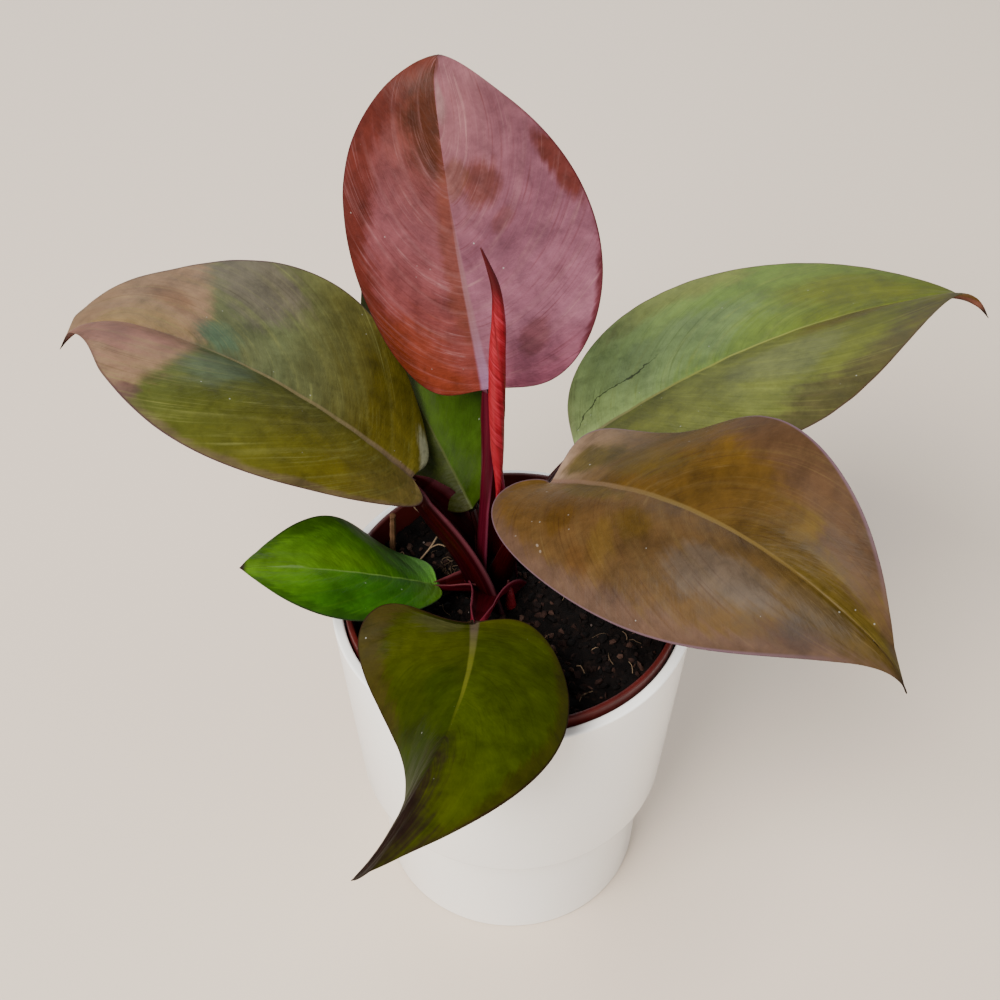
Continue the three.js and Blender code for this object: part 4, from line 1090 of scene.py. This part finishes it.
def build_stalk(name):
    """Stalk from the stem to its blade, with a sheath whose wings waver and a channel on top."""
    leaf, shape = LEAVES[name], STALK_SHAPES[name]
    points, facing = stalk_curve(leaf)
    u = np.linspace(0.0, 1.0, STALK_ROWS)[:, None]
    foot, top = leaf["stalk_radius"]
    ending = rising(u - 0.8, 0.2) ** 1.5
    radius = (foot + (top - foot) * u) * (1 - ending) + STALK_END_RADIUS * ending
    swell = 1 + shape["swell"] * rising(shape["sheath_end"] - u, 0.35)
    width = radius * swell * (1 + leaf["sheath"] * (1 - u) ** 3)
    section, wing = trough(shape, width, 0.85 * radius * swell, u)
    verts, faces = tube(points, shape.get("facing", facing), section)
    column = np.arange(SHEATH_OUTSIDE + SHEATH_INSIDE)
    hollow = np.broadcast_to(column >= SHEATH_OUTSIDE, wing.shape).astype(float)
    new_piece(f"stalk_{name}", verts, faces, [stalk_material(name, STALK_COLOURS[name])],
              f"petiole_{name}", tube_uv(u, column[None, :] / len(column)),
              {"wing": tube_values(wing), "hollow": tube_values(hollow)})


def build_rolled(name, material, replaced):
    """Rolled leaf: the radius grows around each ring by a sawtooth whose seam climbs as a spiral."""
    roll = ROLLED[name]
    u = np.linspace(0.0, 1.0, roll["rows"])[:, None]
    a = full_turn(roll["columns"])[None, :]
    radius = np.interp(u, np.linspace(0.0, 1.0, len(roll["radii"])), roll["radii"])
    seam = np.mod(a / (2 * np.pi) + roll["turns"] * u, 1.0)
    grow = 1 - roll["seam_step"] * seam + 0.02 * np.sin(7 * a + 30 * u)
    path = smooth_path(roll["knots"], roll["rows"])
    verts, faces = tube(path, (0, -1, 0), round_section(radius * grow, a))
    wing = np.exp(-(np.minimum(seam, 1 - seam) / 0.03) ** 2)
    new_piece(name, verts, faces, [material], replaced, tube_uv(u, a / (2 * np.pi)),
              {"wing": tube_values(wing)})


def build_crown():
    """Short thick stem that rounds off at its top, slightly ringed and ribbed."""
    rows, columns = 40, 48
    u = np.linspace(0.0, 1.0, rows)[:, None]
    a = full_turn(columns)[None, :]
    points = np.linspace((*STEM_AXIS, STEM_FOOT), (*STEM_AXIS, STEM_TOP), rows)
    radius = STEM_RADIUS * np.minimum(1.0, rising(1 - u, 0.2) ** 0.5 + 0.02)
    radius = radius * (1 + 0.03 * np.sin(26 * u) + 0.03 * np.sin(5 * a + 4 * u))
    verts, faces = tube(points, (0, 1, 0), round_section(radius, a))
    skin = speckled_material("stem_skin", [
        (0.3, (0.0008, 0.0001, 0.0001)), (0.55, (0.002, 0.0002, 0.0003)),
        (0.8, (0.006, 0.0008, 0.0008))], 160.0, 0.6, 0.0006)
    new_piece("crown", verts, faces, [skin], "stem")


def build_dry_stalk(colour):
    """Thin dry stalk, ribbed along and faintly ringed, that narrows to its top."""
    rows, columns = 60, 28
    u = np.linspace(0.0, 1.0, rows)[:, None]
    a = full_turn(columns)[None, :]
    radius = (DRY_RADIUS - 0.15 * u) * (1 + 0.09 * np.cos(5 * a + 2 * u) + 0.05 * np.sin(40 * u))
    verts, faces = tube(smooth_path(DRY_KNOTS, rows), (0, -1, 0), round_section(radius, a))
    straw = speckled_material("dry_fibre", [
        (0.3, toned(colour, 0.45)), (0.6, colour), (0.8, toned(colour, 1.4))], 240.0, 0.8, 0.0005)
    new_piece("dry_flower_stalk", verts, faces, [straw], "dry_stalk")


def rounded(corners, radius):
    """Profile with each inner corner replaced by an arc-like quadratic curve of the given reach."""
    corners = np.asarray(corners, dtype=float)
    before, here, after = corners[:-2], corners[1:-1], corners[2:]
    reach = np.minimum(radius, 0.45 * np.minimum(np.linalg.norm(here - before, axis=1),
                                                 np.linalg.norm(after - here, axis=1)))[:, None]
    start = here + unit(before - here) * reach
    end = here + unit(after - here) * reach
    s = np.linspace(0.0, 1.0, CORNER_POINTS)[None, :, None]
    arcs = (1 - s) ** 2 * start[:, None] + 2 * (1 - s) * s * here[:, None] + s**2 * end[:, None]
    return np.concatenate([corners[:1], arcs.reshape(-1, 2), corners[-1:]])


def build_pot(name, profile, material, replaced):
    """Pot: the profile's radius and height carried round the Z axis, from the axis back to it."""
    a = full_turn(POT_COLUMNS)
    radius, height = profile[1:-1, :1], profile[1:-1, 1:]
    rings = np.stack([radius * np.cos(a), radius * np.sin(a), np.repeat(height, len(a), axis=1)], axis=-1)
    verts, faces = closed_body(rings, (0, 0, profile[0, 1]), (0, 0, profile[-1, 1]))
    new_piece(name, verts, faces, [material], replaced)


def soil_height(x, y):
    """Soil's top in mm: the frame's broad lumps plus finer crumbs and small pits."""
    broad = np.sin(0.16 * x + 0.5) * np.cos(0.14 * y - 0.8)
    small = np.sin(0.43 * x - 0.37 * y + 1.1) + np.cos(0.39 * x + 0.45 * y)
    crumbs = 0.45 * lumps(x, y, 3, 6.0) + 0.35 * np.abs(lumps(x, y, 4, 2.6)) + 0.2 * lumps(x, y, 5, 1.3)
    return SOIL_TOP + 0.77 * broad + 0.385 * small + crumbs


def build_earth(colour):
    """Soil: its lumpy top out to the pot's wall, then the wall's slope down to the foot."""
    a = full_turn(SOIL_COLUMNS)[None, :]
    r = np.linspace(0.0, SOIL_RADIUS, SOIL_ROWS)[1:, None]
    x, y = r * np.cos(a), r * np.sin(a)
    top = np.stack([x, y, soil_height(x, y)], axis=-1)
    walls = [np.stack([x[-1:] * share, y[-1:] * share, np.full(a.shape, height)], axis=-1)
             for share, height in SOIL_WALL]
    middle = (0, 0, soil_height(np.zeros(1), np.zeros(1))[0])
    verts, faces = closed_body(np.concatenate([top, *walls]), middle, (0, 0, SOIL_WALL[-1][1]),
                               downwards=True)
    earth = speckled_material("earth", [
        (0.35, toned(colour, 0.4)), (0.55, colour), (0.68, (0.008, 0.004, 0.0025)),
        (0.8, (0.03, 0.016, 0.010))], 330.0, 0.9, 0.0012)
    new_piece("earth", verts, faces, [earth], "soil")


def scatter(rng, count, reach):
    """Random places on the soil, clear of the stem, in mm."""
    radius = reach * np.sqrt(rng.uniform(0.0, 1.0, 3 * count))
    angle = rng.uniform(0.0, 2 * np.pi, 3 * count)
    places = np.stack([radius * np.cos(angle), radius * np.sin(angle)], axis=-1)
    clear = np.linalg.norm(places - np.array(STEM_AXIS), axis=1) > STEM_CLEAR
    return places[clear][:count]


def icosahedron():
    """Points and faces of a regular icosahedron of radius 1."""
    g = (1 + 5**0.5) / 2
    points = np.array([(-1, g, 0), (1, g, 0), (-1, -g, 0), (1, -g, 0), (0, -1, g), (0, 1, g),
                       (0, -1, -g), (0, 1, -g), (g, 0, -1), (g, 0, 1), (-g, 0, -1), (-g, 0, 1)], float)
    faces = np.array([(0, 11, 5), (0, 5, 1), (0, 1, 7), (0, 7, 10), (0, 10, 11), (1, 5, 9), (5, 11, 4),
                      (11, 10, 2), (10, 7, 6), (7, 1, 8), (3, 9, 4), (3, 4, 2), (3, 2, 6), (3, 6, 8),
                      (3, 8, 9), (4, 9, 5), (2, 4, 11), (6, 2, 10), (8, 6, 7), (9, 8, 1)])
    return unit(points), faces


def turned_bits(rng, base, centres, sizes):
    """Copies of a base shape, each stretched, turned by a random rotation and set at its centre.

    A rotation is a random quaternion whose share about level axes is held back, so most bits lie flat.
    """
    count = len(centres)
    jitter = base[None] * rng.uniform(0.7, 1.3, (count, len(base), 1))
    stretched = jitter * sizes[:, None, :]
    q = unit(rng.normal(size=(count, 4)) * np.array([1.0, 0.45, 0.45, 1.0]))
    w, x, y, z = q.T
    matrix = np.stack([
        1 - 2 * (y * y + z * z), 2 * (x * y - w * z), 2 * (x * z + w * y),
        2 * (x * y + w * z), 1 - 2 * (x * x + z * z), 2 * (y * z - w * x),
        2 * (x * z - w * y), 2 * (y * z + w * x), 1 - 2 * (x * x + y * y)], axis=-1)
    return np.einsum("nij,nkj->nki", matrix.reshape(count, 3, 3), stretched) + centres[:, None]


def build_bits(rng, name, count, size_range, squash, tones, material, sink):
    """Loose bits on the soil, flattened by the squash and set above its top by a share of their size."""
    places = scatter(rng, count, BIT_REACH)
    count = len(places)
    size = rng.uniform(*size_range, (count, 1)) * rng.uniform(0.5, 1.0, (count, 3))
    size[:, 2] *= squash
    height = soil_height(places[:, 0], places[:, 1]) + sink * size[:, 2]
    centres = np.concatenate([places, height[:, None]], axis=1)
    base_points, base_faces = icosahedron()
    points = turned_bits(rng, base_points, centres, size)
    faces = base_faces[None] + (np.arange(count) * len(base_points))[:, None, None]
    tone = np.repeat(rng.choice(tones, count), len(base_points))
    new_piece(name, points.reshape(-1, 3), faces.reshape(-1, 3), [material], "soil",
              values={"tone": tone}, smooth=False)


def fibre_path(rng, place, length):
    """Arc of a parabola about a place, held inside the pot, that bows up off the soil's top."""
    heading = rng.uniform(0.0, 2 * np.pi)
    s = np.linspace(-0.5, 0.5, FIBRE_POINTS)
    bend = rng.uniform(-1.2, 1.2)
    x = place[0] + length * (s * np.cos(heading) - bend * s**2 * np.sin(heading))
    y = place[1] + length * (s * np.sin(heading) + bend * s**2 * np.cos(heading))
    keep = np.minimum(1.0, FIBRE_LIMIT / np.maximum(np.hypot(x, y), 1.0))
    x, y = x * keep, y * keep
    z = soil_height(x, y) + 0.4 + rng.uniform(0.0, 2.0) * (0.25 - s**2) * 4
    return np.stack([x, y, z], axis=-1)


def build_fibres(rng, count):
    """Thin bent fibres that lie on the soil, a tangle of dry roots and three long strands."""
    tangle = rng.normal(TANGLE_PLACE, TANGLE_SPREAD, (TANGLE_ROOTS, 2))
    places = np.concatenate([scatter(rng, count, FIBRE_REACH), tangle])
    lengths = rng.uniform(2.5, 8.0, len(places))
    tones = rng.uniform(0.0, 0.8, len(places))
    lengths[-TANGLE_ROOTS:] *= 0.6
    tones[-TANGLE_ROOTS:] *= 0.45
    paths = [fibre_path(rng, place, length) for place, length in zip(places, lengths)]
    paths += [smooth_path(strand, FIBRE_POINTS) for strand in STRANDS]
    radii = np.concatenate([rng.uniform(0.08, 0.2, len(places)), [0.3, 0.35, 0.25]])
    tones = np.concatenate([tones, [0.8, 1.0, 1.0]])
    sides = 6
    section = round_section(np.ones((FIBRE_POINTS, 1)), full_turn(sides)[None, :])
    rods = [tube(points, (0, 0, 1), radius * section) for points, radius in zip(paths, radii)]
    size = len(rods[0][0])
    faces = [np.array(face) + number * size for number, rod in enumerate(rods) for face in rod[1]]
    material = loose_material("fibre", [(0.0, (0.012, 0.006, 0.003)), (1.0, (0.20, 0.135, 0.08))],
                              0.8, 600.0)
    new_piece("fibres", np.concatenate([verts for verts, _ in rods]), faces, [material], "soil",
              values={"tone": np.repeat(tones, size)})


# Operators

class PLANT_OT_pots(Operator):
    """Build the glazed cachepot and the nursery pot inside it"""
    bl_idname = "plant.pots"
    bl_label = "Pots"

    def execute(self, context):
        colours = context.scene.plant.colours
        build_pot("white_cachepot", rounded(CACHEPOT_CORNERS, CACHEPOT_ROUNDING),
                  glaze_material(tuple(colours.glaze)), "cachepot")
        build_pot("red_nursery_pot", rounded(NURSERY_CORNERS, NURSERY_ROUNDING),
                  plastic_material(tuple(colours.terracotta)), "nursery_pot")
        return {"FINISHED"}


class PLANT_OT_soil(Operator):
    """Build the soil with its bark chips, pale grains and fibres"""
    bl_idname = "plant.soil"
    bl_label = "Soil"

    def execute(self, context):
        sizes, colours = context.scene.plant.sizes, context.scene.plant.colours
        rng = np.random.default_rng(SOIL_SEED)
        build_earth(tuple(colours.soil))
        bark = loose_material("bark", [
            (0.0, (0.001, 0.0005, 0.0004)), (0.35, (0.003, 0.0013, 0.0009)),
            (0.6, (0.009, 0.0035, 0.0025)), (0.8, (0.028, 0.013, 0.009)),
            (1.0, (0.08, 0.05, 0.035))], 0.85, 500.0)
        build_bits(rng, "bark_chips", sizes.bark_chips, (0.6, 2.5), 0.6,
                   (0.0, 0.1, 0.2, 0.3, 0.4, 0.5, 0.65, 0.8), bark, 0.2)
        pale = loose_material("pale_grain", [
            (0.0, (0.04, 0.026, 0.022)), (1.0, (0.15, 0.12, 0.105))], 0.8, 700.0)
        build_bits(rng, "pale_grains", sizes.grains, (0.4, 0.9), 0.9, (0.2, 0.5, 0.8), pale, 0.5)
        build_fibres(rng, sizes.fibres)
        return {"FINISHED"}


class PLANT_OT_shoots(Operator):
    """Build the stem, the rolled new leaf, the bud and the dry flower stalk"""
    bl_idname = "plant.shoots"
    bl_label = "Stem and Shoots"

    def execute(self, context):
        colours = context.scene.plant.colours
        build_rolled("rolled_leaf", spear_material("rolled_leaf", tuple(colours.spear)), "spear")
        build_rolled("side_bud", spear_material("bud_skin", toned(colours.spear, 0.35)), "bud")
        build_crown()
        build_dry_stalk(tuple(colours.dry))
        return {"FINISHED"}


class PLANT_OT_stalks(Operator):
    """Build every leaf stalk"""
    bl_idname = "plant.stalks"
    bl_label = "Leaf Stalks"

    def execute(self, context):
        for name in LEAVES:
            build_stalk(name)
        return {"FINISHED"}


class PLANT_OT_blades(Operator):
    """Build every leaf blade"""
    bl_idname = "plant.blades"
    bl_label = "Leaf Blades"

    def execute(self, context):
        for name in LEAVES:
            build_blade(name, context.scene.plant.sizes)
        return {"FINISHED"}


class PLANT_OT_stage(Operator):
    """Build the floor, the lights, the sky and the camera"""
    bl_idname = "plant.stage"
    bl_label = "Stage"

    def execute(self, context):
        settings = context.scene.plant
        half = settings.sizes.floor_size / 2
        mesh = bpy.data.meshes.new("floor")
        mesh.from_pydata([(-half, -half, 0), (half, -half, 0), (half, half, 0), (-half, half, 0)], [],
                         [(0, 1, 2, 3)])
        material, tree, *_ = new_material("pale_floor")
        wire(tree, Base_Color=(*settings.colours.floor, 1.0), Roughness=0.6)
        mesh.materials.append(material)
        floor = bpy.data.objects.new("floor", mesh)
        context.scene.collection.objects.link(floor)
        world = bpy.data.worlds.new("studio")
        context.scene.world = world
        world.use_nodes = True
        background = world.node_tree.nodes["Background"]
        background.inputs["Color"].default_value = (*SKY_COLOUR, 1.0)
        background.inputs["Strength"].default_value = SKY_STRENGTH
        for name, light in LIGHTS.items():
            self.light(name, **light)
        camera = bpy.data.cameras.new("camera")
        camera.lens = CAMERA_LENS
        camera.sensor_width = CAMERA_SENSOR
        camera.clip_start = CAMERA_CLIP
        viewer = bpy.data.objects.new("camera", camera)
        viewer.location = CAMERA_PLACE
        viewer.rotation_euler = (math.radians(CAMERA_TILT), 0.0, 0.0)
        context.scene.collection.objects.link(viewer)
        context.scene.camera = viewer
        return {"FINISHED"}

    def light(self, name, place, size, power, colour):
        """Square area light that looks at the plant."""
        lamp = bpy.data.lights.new(name, "AREA")
        lamp.size = size
        lamp.energy = power
        lamp.color = colour
        made = bpy.data.objects.new(name, lamp)
        made.location = place
        to_plant = np.array(PLANT_MIDDLE) - np.array(place)
        flat = math.hypot(to_plant[0], to_plant[1])
        made.rotation_euler = (math.pi / 2 + math.atan2(to_plant[2], flat), 0.0,
                               math.atan2(to_plant[1], to_plant[0]) - math.pi / 2)
        bpy.context.scene.collection.objects.link(made)


class PLANT_PT_panel(Panel):
    """Sidebar panel with the plant's sizes, colours and build steps"""
    bl_idname = "PLANT_PT_panel"
    bl_label = "Potted Foliage Plant"
    bl_space_type = "VIEW_3D"
    bl_region_type = "UI"
    bl_category = "Plant"

    def draw(self, context):
        settings = context.scene.plant
        for group in (settings.sizes, settings.colours):
            for key in group.bl_rna.properties.keys():
                if key not in {"rna_type", "name"}:
                    self.layout.prop(group, key)
        for operator in OPERATORS:
            self.layout.operator(operator.bl_idname)


OPERATORS = (PLANT_OT_pots, PLANT_OT_soil, PLANT_OT_shoots, PLANT_OT_stalks, PLANT_OT_blades,
             PLANT_OT_stage)
CLASSES = (PlantSizes, PlantColours, PlantSettings, *OPERATORS, PLANT_PT_panel)


def register():
    """Register the classes and hang the settings on the scene"""
    for cls in CLASSES:
        bpy.utils.register_class(cls)
    bpy.types.Scene.plant = PointerProperty(type=PlantSettings)


def unregister():
    """Take the settings and the classes away again"""
    del bpy.types.Scene.plant
    for cls in reversed(CLASSES):
        bpy.utils.unregister_class(cls)


def main():
    """Build everything in order"""
    register()
    for step_name in ("pots", "soil", "shoots", "stalks", "blades", "stage"):
        getattr(bpy.ops.plant, step_name)()


if __name__ == "__main__":
    main()
